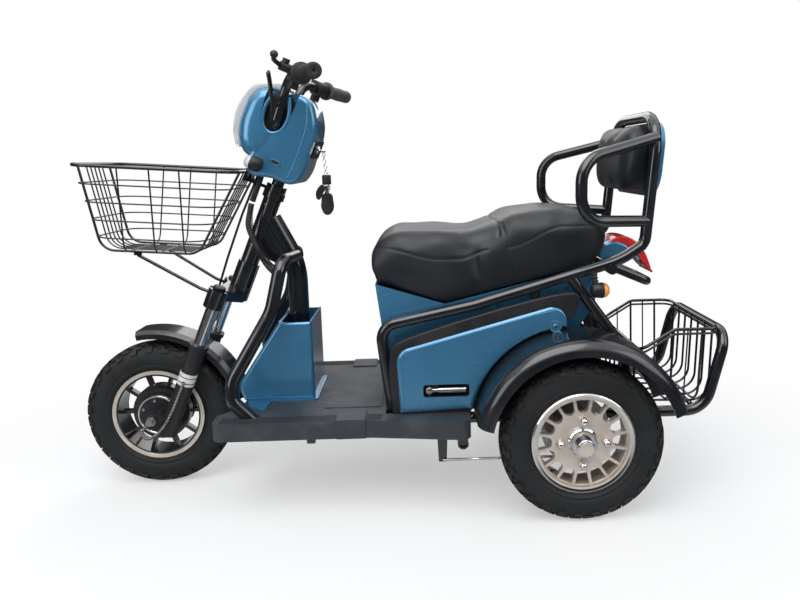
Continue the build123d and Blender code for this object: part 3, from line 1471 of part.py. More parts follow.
with BuildPart() as front_indicator_lenses:
    for side in (1, -1):
        rod(
            on_fork(lamp_front, lamp_out * side, lamp_up),
            on_fork(lamp_front + lens_sheet, lamp_out * side, lamp_up),
            lamp_radius + past,
        )
front_indicator_lenses.part.label = "front_indicator_lenses"
export_step(front_indicator_lenses.part, "parts/front_indicator_lenses.step")

# ---- cables: one part turns with the steering, the other stays with the frame ----
with BuildPart() as head_cables:
    rod(
        on_fork(loom_ahead, loom_side, housing_low + 2 - seat_gap),
        on_fork(loom_ahead, loom_side, loom_split + loom_split_gap / 2),
        loom_radius,
    )
    tube(
        [
            on_fork(cable_ahead - cable_radius, cable_side, housing_low - cable_radius / 3),
            on_fork(cable_ahead + past, cable_side, (head_low + housing_low) / 2),
            on_fork(cable_ahead, cable_side - 2 * cable_radius, head_low),
            on_fork(cable_ahead + past, cable_side - cable_sweep + past, leg_top - crown_sink),
            on_fork(cable_ahead + past, cable_side - cable_sweep, leg_top / 3),
            on_fork(axis_setback, cable_side - cable_sweep, lug_width / 2 + seat_gap),
        ],
        cable_radius,
        cable_bends,
    )
head_cables.part.label = "head_cables"
export_step(head_cables.part, "parts/head_cables.step")

with BuildPart() as frame_cable:
    tube(
        [
            on_fork(loom_ahead, loom_side, loom_split - loom_split_gap / 2),
            on_fork(*loom_turn),
            on_fork(*loom_low),
            between(hoop_route(1)[1], hoop_route(1)[2], loom_end_share),
        ],
        loom_radius,
        loom_bends,
    )
    tube(hoop_route(1)[:4], hoop_radius + seat_gap, hoop_bends[:2], mode=Mode.SUBTRACT)
frame_cable.part.label = "frame_cable"
export_step(frame_cable.part, "parts/frame_cable.step")

# ---- front basket, its bracket and struts ----
basket_plane = Plane(
    origin=on_fork(basket_ahead, 0, basket_up),
    x_dir=(cos(radians(front_basket_tilt)), 0, sin(radians(front_basket_tilt))),
    z_dir=(-sin(radians(front_basket_tilt)), 0, cos(radians(front_basket_tilt))),
)


def in_basket(ahead, side, drop):
    # a point in the front basket's frame: ahead of its rear rim, below its rim
    return tuple(basket_plane.from_local_coords((ahead, side, -drop)))


def basket_loop(drop, radius):
    # one horizontal ring of wire, smaller further down
    share = drop / front_basket_depth
    rear = basket_back_slope * share
    front = front_basket_length - basket_front_slope * share
    half = front_basket_half + (front_basket_low_half - front_basket_half) * share
    with BuildSketch(basket_plane.offset(-drop)) as plan:
        with Locations(((rear + front) / 2, 0)):
            RectangleRounded(front - rear, 2 * half, front_basket_corner)
    corners = plan.sketch.wires()[0]
    with BuildSketch(Plane(origin=corners @ 0, z_dir=corners % 0)) as section:
        Circle(radius)
    sweep(section.sketch, path=corners)


with BuildPart() as front_basket:
    basket_loop(0, rim_wire_radius)
    for step in range(1, front_loops + 1):
        basket_loop(front_basket_depth * step / front_loop_share, wire_radius)
    for share in front_long_shares:
        side = share * front_basket_low_half
        thick = abs(share) > front_thick_share
        tube(
            [
                in_basket(0, side, 0),
                in_basket(basket_back_slope, side, front_basket_depth),
                in_basket(front_basket_length - basket_front_slope, side, front_basket_depth),
                in_basket(front_basket_length, side, 0),
            ],
            rim_wire_radius - past if thick else wire_radius,
            front_long_bends,
        )
    for share in front_cross_shares:
        ahead = share * front_basket_length
        tube(
            [
                in_basket(ahead, -front_basket_half, 0),
                in_basket(ahead, -front_basket_low_half, front_basket_depth),
                in_basket(ahead, front_basket_low_half, front_basket_depth),
                in_basket(ahead, front_basket_half, 0),
            ],
            wire_radius,
            front_cross_bends,
        )
front_basket.part.label = "front_basket"
export_step(front_basket.part, "parts/front_basket.step")

with BuildPart() as basket_mount:
    shelf_low = head_high + past
    with BuildSketch(steer.offset(shelf_low)):
        with Locations(((basket_ahead - rest_sheet) / 2, 0)):
            RectangleRounded(basket_ahead - 2, shelf_width, shelf_round)
    extrude(amount=shelf_sheet)
    with BuildSketch(steer.offset(shelf_low)):
        with Locations((basket_ahead - rim_wire_radius - rest_sheet / 2, 0)):
            Rectangle(rest_sheet, rest_width)
    extrude(amount=basket_up - shelf_low + 2 * rim_wire_radius)
    rod(on_fork(0, 0, shelf_low), on_fork(0, 0, shelf_low + 2 * shelf_sheet), head_radius + rest_sheet / 2)
    rod(on_fork(0, 0, head_high), on_fork(0, 0, shelf_low + 3 * shelf_sheet), stem_radius, mode=Mode.SUBTRACT)
    for side in (1, -1):
        strut_foot = front_basket_depth + rim_wire_radius - past
        rod(
            in_basket(strut_ahead, strut_side * side, strut_foot),
            in_basket(strut_ahead, strut_side * side, strut_foot + strut_radius + past),
            strut_pad,
        )
        tube(
            [
                on_fork(
                    leg_lead + crown_radius - strut_radius,
                    leg_half_gap * side,
                    leg_top + 2 * strut_radius,
                ),
                on_fork(
                    leg_lead + 2 * crown_radius - strut_radius,
                    leg_half_gap * side,
                    leg_top + 2 * strut_radius,
                ),
                in_basket(strut_ahead, strut_side * side, strut_foot + strut_radius + past),
            ],
            strut_radius,
            [strut_bend],
        )
        rod(
            on_fork(leg_lead, leg_half_gap * side, leg_top - crown_sink),
            on_fork(leg_lead, leg_half_gap * side, leg_top + 2 * crown_height),
            crown_radius,
            mode=Mode.SUBTRACT,
        )
basket_mount.part.label = "basket_mount"
export_step(basket_mount.part, "parts/basket_mount.step")

# ---- rear basket ----
with BuildPart() as rear_basket:
    for drop in (0, rail_pair):
        for side in (1, -1):
            tube(
                [
                    behind(rear_basket_front, 0, rear_basket_nose_rise - drop),
                    behind(rear_basket_front, rear_basket_half * side, rear_basket_nose_rise - drop),
                    behind(rear_basket_mid, rear_basket_half * side, rear_basket_top_rise - drop),
                    behind(rear_basket_back, rear_basket_half * side, rear_basket_top_rise - drop),
                    behind(rear_basket_back, 0, rear_basket_top_rise - drop),
                ],
                rim_wire_radius if drop == 0 else floor_wire_radius,
                rear_basket_bends,
            )
    for share in rear_long_shares:
        side = share * (rear_basket_half - rear_basket_corner)
        tube(
            [
                behind(rear_basket_back, side, rear_basket_top_rise),
                behind(rear_basket_back + 2 * floor_wire_radius, side, rear_basket_floor_rise),
                behind(rear_basket_front, side, rear_basket_floor_rise + 2 * floor_wire_radius),
                behind(rear_basket_front, side, rear_basket_nose_rise),
            ],
            floor_wire_radius,
            rear_long_bends,
        )
    for share in rear_cross_shares + rear_thin_shares:
        ahead = rear_basket_back + share * (rear_basket_front - rear_basket_back)
        slope = max(0, (ahead - rear_basket_mid) / (rear_basket_front - rear_basket_mid))
        height = rear_basket_top_rise + slope * (rear_basket_nose_rise - rear_basket_top_rise)
        tube(
            [
                behind(ahead, -rear_basket_half, height),
                behind(ahead, rear_floor_in - rear_basket_half, rear_basket_floor_rise + rim_wire_radius),
                behind(ahead, rear_basket_half - rear_floor_in, rear_basket_floor_rise + rim_wire_radius),
                behind(ahead, rear_basket_half, height),
            ],
            floor_wire_radius - past if share in rear_thin_shares else floor_wire_radius,
            rear_cross_bends,
        )
rear_basket.part.label = "rear_basket"
export_step(rear_basket.part, "parts/rear_basket.step")
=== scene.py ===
import bpy
import json
import math
from mathutils import Matrix, Vector


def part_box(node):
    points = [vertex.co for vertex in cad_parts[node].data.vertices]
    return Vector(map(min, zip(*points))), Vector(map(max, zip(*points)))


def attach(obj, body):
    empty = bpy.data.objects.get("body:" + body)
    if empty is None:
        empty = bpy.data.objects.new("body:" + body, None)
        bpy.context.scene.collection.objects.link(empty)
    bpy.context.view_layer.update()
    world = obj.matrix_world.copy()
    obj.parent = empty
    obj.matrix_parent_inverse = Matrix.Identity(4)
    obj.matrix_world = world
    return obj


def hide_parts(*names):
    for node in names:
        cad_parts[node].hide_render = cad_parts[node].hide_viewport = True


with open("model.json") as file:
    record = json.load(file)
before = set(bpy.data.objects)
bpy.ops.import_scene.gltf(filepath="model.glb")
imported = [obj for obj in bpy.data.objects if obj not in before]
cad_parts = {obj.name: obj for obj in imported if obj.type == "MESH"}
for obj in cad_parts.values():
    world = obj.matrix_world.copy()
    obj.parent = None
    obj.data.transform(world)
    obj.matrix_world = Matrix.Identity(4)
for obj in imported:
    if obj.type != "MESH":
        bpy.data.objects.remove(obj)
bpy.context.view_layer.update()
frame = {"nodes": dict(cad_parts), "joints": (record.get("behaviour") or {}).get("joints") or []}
nodes = frame["nodes"]
mm = 0.001
print("frame loaded:", len(nodes), "nodes")

# places that everything else is set out from
joints = {j["name"]: j for j in frame["joints"]}
rearAxle = Vector(joints["rear_wheel_left_spin"]["pos_m"])
frontAxle = Vector(joints["front_wheel_spin"]["pos_m"])
steerAxis = Vector(joints["steer"]["axis"]).normalized()
steerUp = 540
steerFoot = Vector(joints["steer"]["pos_m"]) - steerAxis * steerUp * mm
sides = ((1, "left"), (-1, "right"))
weld = 0.02 * mm


def frameOf(xDir, yDir, origin):
    zDir = xDir.cross(yDir)
    return Matrix.Translation(origin) @ Matrix((xDir, yDir, zDir)).transposed().to_4x4()


# side frames: x ahead, y up, z to the right; millimetres times mm
forkFrame = frameOf(Vector((steerAxis.z, 0, -steerAxis.x)), steerAxis, steerFoot)
bodyFrame = frameOf(Vector((1, 0, 0)), Vector((0, 0, 1)), Vector((rearAxle.x, 0, rearAxle.z)))


def onFork(ahead, side, up):
    return forkFrame @ Vector((ahead * mm, up * mm, -side * mm))


def onBody(ahead, side, rise):
    return bodyFrame @ Vector((ahead * mm, rise * mm, -side * mm))


def forkLine(points, side=1):
    return [onFork(ahead, out * side, up) for ahead, out, up in points]


# small tools
def setMode(mode):
    bpy.ops.object.mode_set(mode=mode)


def clearSelection():
    if bpy.context.object and bpy.context.object.mode != "OBJECT":
        setMode("OBJECT")
    bpy.ops.object.select_all(action="DESELECT")


def pick(obj):
    clearSelection()
    obj.select_set(True)
    bpy.context.view_layer.objects.active = obj


def applyAll(obj):
    pick(obj)
    for modifier in list(obj.modifiers):
        bpy.ops.object.modifier_apply(modifier=modifier.name)


def setDown(obj, matrix):
    # puts a piece made about the origin in its place and leaves the object there
    pick(obj)
    obj.matrix_world = matrix @ obj.matrix_world
    bpy.ops.object.transform_apply(location=True, rotation=True, scale=True)


def linked(name, data):
    obj = bpy.data.objects.new(name, data)
    bpy.context.collection.objects.link(obj)
    return obj


def rounded(obj, width, segments=3, angle=35):
    bevel = obj.modifiers.new("round", "BEVEL")
    bevel.width = width * mm
    bevel.segments = segments
    bevel.angle_limit = math.radians(angle)
    applyAll(obj)


def cutBy(obj, cutter):
    cut = obj.modifiers.new("cut", "BOOLEAN")
    cut.operation = "DIFFERENCE"
    cut.solver = "EXACT"
    cut.object = cutter
    applyAll(obj)
    bpy.data.objects.remove(cutter)


def finishPiece(obj, body, finish, angle=40):
    pick(obj)
    setMode("EDIT")
    bpy.ops.mesh.select_all(action="SELECT")
    bpy.ops.mesh.remove_doubles(threshold=weld)
    bpy.ops.mesh.normals_make_consistent(inside=False)
    setMode("OBJECT")
    bpy.ops.object.shade_smooth_by_angle(angle=math.radians(angle))
    obj.data.materials.clear()
    obj.data.materials.append(finishes[finish])
    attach(obj, body)
    return obj


def joinPieces(name, pieces):
    clearSelection()
    for piece in pieces:
        piece.select_set(True)
    bpy.context.view_layer.objects.active = pieces[0]
    bpy.ops.object.join()
    pieces[0].name = name
    return pieces[0]


def copyOf(obj, matrix):
    # another one with its own mesh
    other = obj.copy()
    other.data = obj.data.copy()
    bpy.context.collection.objects.link(other)
    other.data.transform(matrix)
    return other


def box(name, size, place, matrix=Matrix.Identity(4), edge=0.0):
    clearSelection()
    bpy.ops.mesh.primitive_cube_add(size=1, location=[v * mm for v in place], scale=[v * mm for v in size])
    obj = bpy.context.object
    obj.name = name
    bpy.ops.object.transform_apply(location=True, rotation=True, scale=True)
    if edge:
        rounded(obj, edge)
    setDown(obj, matrix)
    return obj


def spun(name, profile, matrix=Matrix.Identity(4), steps=64):
    # a profile of (height along the axis, radius) turned round the local z axis
    clearSelection()
    bpy.ops.mesh.primitive_plane_add(size=0.001)
    obj = bpy.context.object
    obj.name = name
    setMode("EDIT")
    bpy.ops.mesh.select_mode(type="VERT")
    bpy.ops.mesh.select_all(action="SELECT")
    bpy.ops.mesh.merge(type="CENTER")
    here = Vector((0, 0, 0))
    for count, (height, radius) in enumerate(profile):
        there = Vector((radius * mm, 0, height * mm))
        if count == 0:
            bpy.ops.transform.translate(value=there - here)
        else:
            bpy.ops.mesh.extrude_region_move(TRANSFORM_OT_translate={"value": there - here})
        here = there
    setMode("OBJECT")
    screw = obj.modifiers.new("turn", "SCREW")
    screw.axis = "Z"
    screw.steps = screw.render_steps = steps
    screw.use_merge_vertices = True
    screw.merge_threshold = weld
    applyAll(obj)
    setDown(obj, matrix)
    return obj


def torus(name, major, minor, detail, place=(0, 0, 0), turn=(0, 0, 0), stretch=1.0):
    clearSelection()
    bpy.ops.mesh.primitive_torus_add(
        major_segments=detail, minor_segments=8, major_radius=major * mm, minor_radius=minor * mm,
        location=place, rotation=turn)
    obj = bpy.context.object
    obj.name = name
    obj.scale = (1, 1, stretch)
    bpy.ops.object.transform_apply(location=True, rotation=True, scale=True)
    return obj


def turned(body, finish, *shape):
    return finishPiece(spun(*shape), body, finish)


def alongAxis(point, direction):
    # a frame whose z axis runs along a direction
    turn = Vector(direction).normalized().to_track_quat("Z", "Y").to_matrix()
    return Matrix.Translation(point) @ turn.to_4x4()


def smoothLine(name, points, detail, closed=False):
    curve = bpy.data.curves.new(name, "CURVE")
    curve.dimensions = "3D"
    curve.resolution_u = detail
    spline = curve.splines.new("NURBS")
    spline.points.add(len(points) - 1)
    for knot, point in zip(spline.points, points):
        knot.co = (*point, 1)
    spline.order_u = 3
    spline.use_endpoint_u = not closed
    spline.use_cyclic_u = closed
    return curve


def tube(name, points, radius, closed=False):
    # a round bar along a smooth line
    curve = smoothLine(name, points, 10, closed)
    curve.bevel_depth = radius * mm
    curve.bevel_resolution = 4
    curve.use_fill_caps = True
    pick(linked(name, curve))
    bpy.ops.object.convert(target="MESH")
    return bpy.context.object


def slab(name, outline, near, far, edge, matrix, smooth=True, detail=8):
    # a plate with a rounded rim: its outline in a side frame, its faces at two side positions
    curve = bpy.data.curves.new(name, "CURVE")
    curve.dimensions = "2D"
    curve.fill_mode = "BOTH"
    curve.resolution_u = detail
    curve.extrude = (abs(far - near) / 2 - edge) * mm
    curve.bevel_depth = edge * mm
    curve.bevel_resolution = 5
    curve.offset = -edge * mm
    spline = curve.splines.new("BEZIER")
    spline.bezier_points.add(len(outline) - 1)
    for knot, point in zip(spline.bezier_points, outline):
        knot.co = (point[0] * mm, point[1] * mm, 0)
        sharp = not smooth or len(point) > 2
        knot.handle_left_type = knot.handle_right_type = "VECTOR" if sharp else "AUTO"
    spline.use_cyclic_u = True
    pick(linked(name, curve))
    bpy.ops.object.convert(target="MESH")
    obj = bpy.context.object
    obj.location = (0, 0, -(near + far) / 2 * mm)
    bpy.context.view_layer.update()
    setDown(obj, matrix)
    return obj


# finishes: shared effects are groups that give colours, masks and heights
def newGroup(name, inputs, outputs):
    group = bpy.data.node_groups.new(name, "ShaderNodeTree")
    for label, kind, value in inputs:
        socket = group.interface.new_socket(label, in_out="INPUT", socket_type=kind)
        if value is not None:
            socket.default_value = value
    for label, kind in outputs:
        group.interface.new_socket(label, in_out="OUTPUT", socket_type=kind)
    return group, group.nodes.new("NodeGroupInput"), group.nodes.new("NodeGroupOutput")


def newNode(tree, kind):
    return tree.nodes.new("ShaderNode" + kind)


def setInput(node, label, value):
    node.inputs[label].default_value = value


def wire(tree, *pairs):
    for source, target in pairs:
        tree.links.new(source, target)


def mathNode(tree, operation, first, second=None):
    node = newNode(tree, "Math")
    node.operation = operation
    for socket, value in zip(node.inputs, (first, second)):
        if value is None:
            continue
        if isinstance(value, (int, float)):
            socket.default_value = value
        else:
            tree.links.new(value, socket)
    return node.outputs[0]


def noiseNode(tree, vector, scale, detail):
    node = newNode(tree, "TexNoise")
    setInput(node, "Detail", detail)
    tree.links.new(vector, node.inputs["Vector"])
    if isinstance(scale, (int, float)):
        setInput(node, "Scale", scale)
    else:
        tree.links.new(scale, node.inputs["Scale"])
    return node.outputs["Fac"]


def rangeNode(tree, value, low, high, toLow=0.0, toHigh=1.0):
    node = newNode(tree, "MapRange")
    node.interpolation_type = "SMOOTHSTEP"
    for socket, setting in zip(node.inputs[1:5], (low, high, toLow, toHigh)):
        if isinstance(setting, (int, float)):
            socket.default_value = setting
        else:
            tree.links.new(setting, socket)
    tree.links.new(value, node.inputs[0])
    return node.outputs[0]


# where the slow noise turns to the second colour and to the higher roughness, and the dust's specks
wearValues = dict(slow=(0.38, 0.66), rough=(0.35, 0.70), speck=(0.58, 0.75), speckShare=0.35)
patternValues = dict(
    flakes=1500, vinylCells=420, vinylPores=1300, poreShare=0.35, crease=0.16, turned=5200, knurl=380)


def makeWearGroup():
    # slow colour change, fine dust, roughness to match and a fine height
    v = wearValues
    group, given, result = newGroup(
        "surfaceWear",
        [
            ("Vector", "NodeSocketVector", None), ("Color", "NodeSocketColor", (0.5, 0.5, 0.5, 1)),
            ("Shade", "NodeSocketColor", (0.4, 0.4, 0.4, 1)), ("Scale", "NodeSocketFloat", 8.0),
            ("Grain", "NodeSocketFloat", 400.0), ("Low", "NodeSocketFloat", 0.3),
            ("High", "NodeSocketFloat", 0.5)],
        [("Color", "NodeSocketColor"), ("Roughness", "NodeSocketFloat"), ("Height", "NodeSocketFloat")])
    place = given.outputs["Vector"]
    slow = noiseNode(group, place, given.outputs["Scale"], 5)
    mask = rangeNode(group, slow, *v["slow"])
    fine = noiseNode(group, place, given.outputs["Grain"], 3)
    speck = rangeNode(group, fine, *v["speck"], 0.0, v["speckShare"])
    rough = rangeNode(group, slow, *v["rough"], given.outputs["Low"], given.outputs["High"])
    blend = newNode(group, "Mix")
    blend.data_type = "RGBA"
    wire(
        group, (mathNode(group, "MAXIMUM", mask, speck), blend.inputs["Factor"]),
        (given.outputs["Color"], blend.inputs["A"]), (given.outputs["Shade"], blend.inputs["B"]),
        (blend.outputs["Result"], result.inputs["Color"]), (rough, result.inputs["Roughness"]),
        (fine, result.inputs["Height"]))
    return group


def heightGroup(name):
    # the start of a group that turns a place into a height
    group, given, result = newGroup(
        name, [("Vector", "NodeSocketVector", None)], [("Height", "NodeSocketFloat")])
    return group, given.outputs["Vector"], result.inputs["Height"]


def makeFlakeGroup():
    # metal flakes under a clear coat
    group, place, height = heightGroup("metalFlake")
    cells = newNode(group, "TexVoronoi")
    setInput(cells, "Scale", patternValues["flakes"])
    split = newNode(group, "SeparateColor")
    wire(
        group, (place, cells.inputs["Vector"]), (cells.outputs["Color"], split.inputs[0]),
        (split.outputs[0], height))
    return group


def makeVinylGroup():
    # pebbled vinyl: small cells with shallow creases between them
    v = patternValues
    group, place, height = heightGroup("vinylGrain")
    cells = newNode(group, "TexVoronoi")
    cells.feature = "DISTANCE_TO_EDGE"
    setInput(cells, "Scale", v["vinylCells"])
    wire(group, (place, cells.inputs["Vector"]))
    ridge = rangeNode(group, cells.outputs["Distance"], 0.0, v["crease"])
    pores = mathNode(group, "MULTIPLY", noiseNode(group, place, v["vinylPores"], 2), v["poreShare"])
    wire(group, (mathNode(group, "ADD", ridge, pores), height))
    return group


def makeBandGroup(name, direction, scale, distortion, detail=2.0):
    # parallel ribs, straight or wandering like grain
    group, place, height = heightGroup(name)
    bands = newNode(group, "TexWave")
    bands.bands_direction = direction
    for label, value in (
        ("Scale", scale), ("Distortion", distortion), ("Detail", detail), ("Detail Scale", 1.5)):
        setInput(bands, label, value)
    wire(group, (place, bands.inputs["Vector"]), (bands.outputs["Fac"], height))
    return group


def makeTurnedGroup():
    # fine rings left by a lathe, round the y axis
    group, place, height = heightGroup("turnedMarks")
    split = newNode(group, "SeparateXYZ")
    wire(group, (place, split.inputs[0]))
    square = mathNode(
        group, "ADD", mathNode(group, "MULTIPLY", split.outputs[0], split.outputs[0]),
        mathNode(group, "MULTIPLY", split.outputs[2], split.outputs[2]))
    away = mathNode(group, "MULTIPLY", mathNode(group, "SQRT", square), patternValues["turned"])
    wire(group, (mathNode(group, "SINE", away), height))
    return group


def makeKnurlGroup():
    # crossed diagonal grooves
    group, place, height = heightGroup("knurl")
    split = newNode(group, "SeparateXYZ")
    wire(group, (place, split.inputs[0]))
    waves = []
    for way in (1, -1):
        slope = mathNode(group, "ADD", split.outputs[1], mathNode(group, "MULTIPLY", split.outputs[2], way))
        wave = mathNode(group, "SINE", mathNode(group, "MULTIPLY", slope, patternValues["knurl"]))
        waves.append(mathNode(group, "ABSOLUTE", wave))
    wire(group, (mathNode(group, "MINIMUM", *waves), height))
    return group


wearGroup = makeWearGroup()
detailGroups = {
    "flake": makeFlakeGroup(), "vinyl": makeVinylGroup(), "turned": makeTurnedGroup(),
    "knurl": makeKnurlGroup(), "boards": makeBandGroup("boardGrain", "Y", 26, 9.0, 3.0),
    "ribs": makeBandGroup("straightRibs", "Y", 55, 0.0), "hoops": makeBandGroup("hoseRings", "Z", 90, 0.0),}


def look(color, shade, rough, scale, grain, bump, **beside):
    # two colours, roughness low and high, the sizes of the colour change and the dust, the dust's bump
    plain = dict(metal=0.0, coat=0.0, coatRough=0.03, sheen=0.0, clear=0.0)
    return dict(plain, color=color, shade=shade, rough=rough, scale=scale, grain=grain, bump=bump, **beside)


finishValues = {
    "bluePaint": look((0.056, 0.225, 0.400), (0.044, 0.190, 0.350), (0.26, 0.34), 5, 700, 0.01, metal=0.50,
        coat=1.0, coatRough=0.05, detail="flake", detailBump=0.015),
    "blackTube": look((0.006, 0.007, 0.009), (0.010, 0.012, 0.015), (0.14, 0.22), 14, 600, 0.01, coat=0.8,
        coatRough=0.05),
    "blackPlastic": look((0.010, 0.010, 0.012), (0.015, 0.015, 0.018), (0.42, 0.55), 20, 1400, 0.10),
    "fenderPlastic": look((0.007, 0.008, 0.010), (0.012, 0.014, 0.018), (0.18, 0.28), 9, 500, 0.01, coat=0.6,
        coatRough=0.08),
    "seatVinyl": look((0.006, 0.008, 0.011), (0.010, 0.012, 0.016), (0.40, 0.50), 7, 900, 0.05,
        detail="vinyl", detailBump=0.10, sheen=0.02),
    "deckRubber": look((0.026, 0.032, 0.040), (0.044, 0.051, 0.060), (0.50, 0.66), 16, 700, 0.15,
        detail="boards", detailBump=0.5),
    "deckEdge": look((0.013, 0.016, 0.020), (0.021, 0.024, 0.029), (0.42, 0.55), 16, 700, 0.1),
    "tyreRubber": look((0.004, 0.005, 0.006), (0.009, 0.010, 0.011), (0.60, 0.78), 22, 900, 0.25),
    "alloy": look((0.78, 0.70, 0.62), (0.66, 0.59, 0.52), (0.30, 0.42), 25, 900, 0.03, metal=0.70,
        detail="turned", detailBump=0.06),
    "chrome": look((0.80, 0.80, 0.81), (0.70, 0.70, 0.72), (0.07, 0.14), 30, 500, 0.01, metal=1.0),
    "steel": look((0.50, 0.50, 0.51), (0.38, 0.37, 0.36), (0.26, 0.42), 40, 1200, 0.06, metal=1.0),
    "motorBlack": look((0.014, 0.014, 0.016), (0.022, 0.022, 0.024), (0.30, 0.45), 25, 900, 0.08, metal=0.2,
        detail="turned", detailBump=0.05),
    "gripRubber": look((0.010, 0.010, 0.011), (0.018, 0.018, 0.019), (0.55, 0.7), 30, 1000, 0.15),
    "gripKnurl": look((0.050, 0.047, 0.044), (0.085, 0.080, 0.074), (0.5, 0.65), 40, 1000, 0.1,
        detail="knurl", detailBump=0.7),
    "clearLens": look((0.90, 0.93, 0.95), (0.82, 0.86, 0.90), (0.06, 0.16), 18, 300, 0.06, coat=0.5,
        coatRough=0.04, clear=0.55),
    "amberLens": look((0.78, 0.30, 0.035), (0.62, 0.22, 0.03), (0.14, 0.24), 40, 500, 0.03, coat=0.8,
        coatRough=0.05, detail="ribs", detailBump=0.15),
    "redLens": look((0.62, 0.022, 0.016), (0.45, 0.014, 0.012), (0.12, 0.2), 30, 500, 0.03, coat=0.9,
        coatRough=0.04, detail="ribs", detailBump=0.12),
    "batteryCase": look((0.05, 0.05, 0.055), (0.07, 0.07, 0.075), (0.5, 0.65), 12, 900, 0.1),
    "brass": look((0.62, 0.32, 0.15), (0.48, 0.24, 0.12), (0.28, 0.45), 60, 900, 0.06, metal=1.0),
    "paleBand": look((0.62, 0.62, 0.60), (0.54, 0.54, 0.52), (0.35, 0.5), 60, 900, 0.03),
    "hoseBlack": look((0.013, 0.013, 0.015), (0.022, 0.022, 0.024), (0.35, 0.5), 40, 900, 0.08,
        detail="hoops", detailBump=0.35),
}


bumpHeights = dict(dust=0.6, detail=0.9)


def makeFinish(name, v):
    material = bpy.data.materials.new(name)
    material.use_nodes = True
    tree = material.node_tree
    shader = tree.nodes["Principled BSDF"]
    place = newNode(tree, "TexCoord")
    wear = newNode(tree, "Group")
    wear.node_tree = wearGroup
    setInput(wear, "Color", (*v["color"], 1))
    setInput(wear, "Shade", (*v["shade"], 1))
    setInput(wear, "Scale", v["scale"])
    setInput(wear, "Grain", v["grain"])
    wear.inputs["Low"].default_value, wear.inputs["High"].default_value = v["rough"]
    bump = newNode(tree, "Bump")
    setInput(bump, "Strength", v["bump"])
    setInput(bump, "Distance", bumpHeights["dust"] * mm)
    wire(
        tree, (place.outputs["Object"], wear.inputs["Vector"]),
        (wear.outputs["Color"], shader.inputs["Base Color"]),
        (wear.outputs["Roughness"], shader.inputs["Roughness"]),
        (wear.outputs["Height"], bump.inputs["Height"]), (bump.outputs["Normal"], shader.inputs["Normal"]))
    if "detail" in v:
        detail = newNode(tree, "Group")
        detail.node_tree = detailGroups[v["detail"]]
        second = newNode(tree, "Bump")
        setInput(second, "Strength", v["detailBump"])
        setInput(second, "Distance", bumpHeights["detail"] * mm)
        source = place.outputs["Object"]
        if v["detail"] == "turned":
            shift = newNode(tree, "Mapping")
            centre = v.get("centre", rearAxle)
            setInput(shift, "Location", (-centre.x, 0, -centre.z))
            wire(tree, (source, shift.inputs["Vector"]))
            source = shift.outputs["Vector"]
        wire(
            tree, (source, detail.inputs["Vector"]), (detail.outputs["Height"], second.inputs["Height"]),
            (bump.outputs["Normal"], second.inputs["Normal"]),
            (second.outputs["Normal"], shader.inputs["Normal"]))
    for label, value in (
        ("Metallic", "metal"), ("Coat Weight", "coat"), ("Coat Roughness", "coatRough"),
        ("Sheen Weight", "sheen"), ("Transmission Weight", "clear")):
        setInput(shader, label, v[value])
    return material


finishValues["frontMotor"] = dict(finishValues["motorBlack"], centre=frontAxle)
finishValues["frontRing"] = dict(finishValues["alloy"], centre=frontAxle)
finishes = {name: makeFinish(name, values) for name, values in finishValues.items()}

nodeFinish = {
    "bluePaint": (
        "knee_box", "seat_tub", "side_panel_left", "side_panel_right", "back_plate", "tail_fairing",
        "head_housing"),
    "blackTube": (
        "head_frame", "floor_frame", "seat_frame", "handlebar", "front_basket", "rear_basket", "basket_mount",
        "fork_crown"),
    "blackPlastic": (
        "rear_indicators", "fork_sliders", "brake_levers", "switch_pods", "front_indicators", "peg_trays",
        "key_fob", "dash_panel"), "fenderPlastic": ("fender_left", "fender_right", "mudguard", "rim_front"),
    "deckRubber": ("deck_mat",), "alloy": ("rim_left", "rim_right"),
    "chrome": ("hub_cap_left", "hub_cap_right", "fork_tubes", "brake_rods"),
    "steel": ("rear_axle", "front_axle", "footpeg_left", "footpeg_right", "brake_plates"),
    "frontMotor": ("hub_motor",), "gripRubber": ("grips",), "hoseBlack": ("head_cables", "frame_cable"),
    "clearLens": ("headlamp_lens", "front_indicator_lenses"), "amberLens": ("rear_indicator_lenses",),
    "redLens": ("tail_lamp",), "batteryCase": ("battery",), "seatVinyl": ("seat", "back_pad"),
    "tyreRubber": ("tyre_left", "tyre_right", "tyre_front"),}
for finish, names in nodeFinish.items():
    for name in names:
        node = nodes[name]
        if not node.data.materials:
            node.data.materials.append(finishes[finish])
        for materialSlot in node.material_slots:
            materialSlot.material = finishes[finish]
print("finishes set")

# camera, floor and lamps
cameraValues = dict(
    place=(-0.0708, 1.6747, 0.8149), pitch=8.742, yaw=-1.536, roll=-1.226, lens=29.95,
    shift=(-0.0503, -0.0484))


def addCamera():
    v = cameraValues
    pitch, yaw, roll = (math.radians(v[k]) for k in ("pitch", "yaw", "roll"))
    ahead = Vector((math.sin(yaw), -math.cos(yaw), 0))
    right = Vector((-math.cos(yaw), -math.sin(yaw), 0))
    up = Vector((0, 0, 1))
    look = ahead * math.cos(pitch) - up * math.sin(pitch)
    top = up * math.cos(pitch) + ahead * math.sin(pitch)
    right, top = right * math.cos(roll) + top * math.sin(roll), top * math.cos(roll) - right * math.sin(roll)
    data = bpy.data.cameras.new("camera")
    data.sensor_width = 36
    data.lens = v["lens"]
    data.shift_x, data.shift_y = v["shift"]
    camera = linked("camera", data)
    camera.matrix_world = Matrix.Translation(v["place"]) @ Matrix((right, top, -look)).transposed().to_4x4()
    bpy.context.scene.camera = camera


addCamera()

stageValues = dict(
    size=40, color=(0.88, 0.88, 0.88), grain=60, rough=(0.85, 0.95), fadeFrom=0.55, fadeTo=1.25,
    fadeAhead=0.72, lift=0.42, mirrored=0.10)
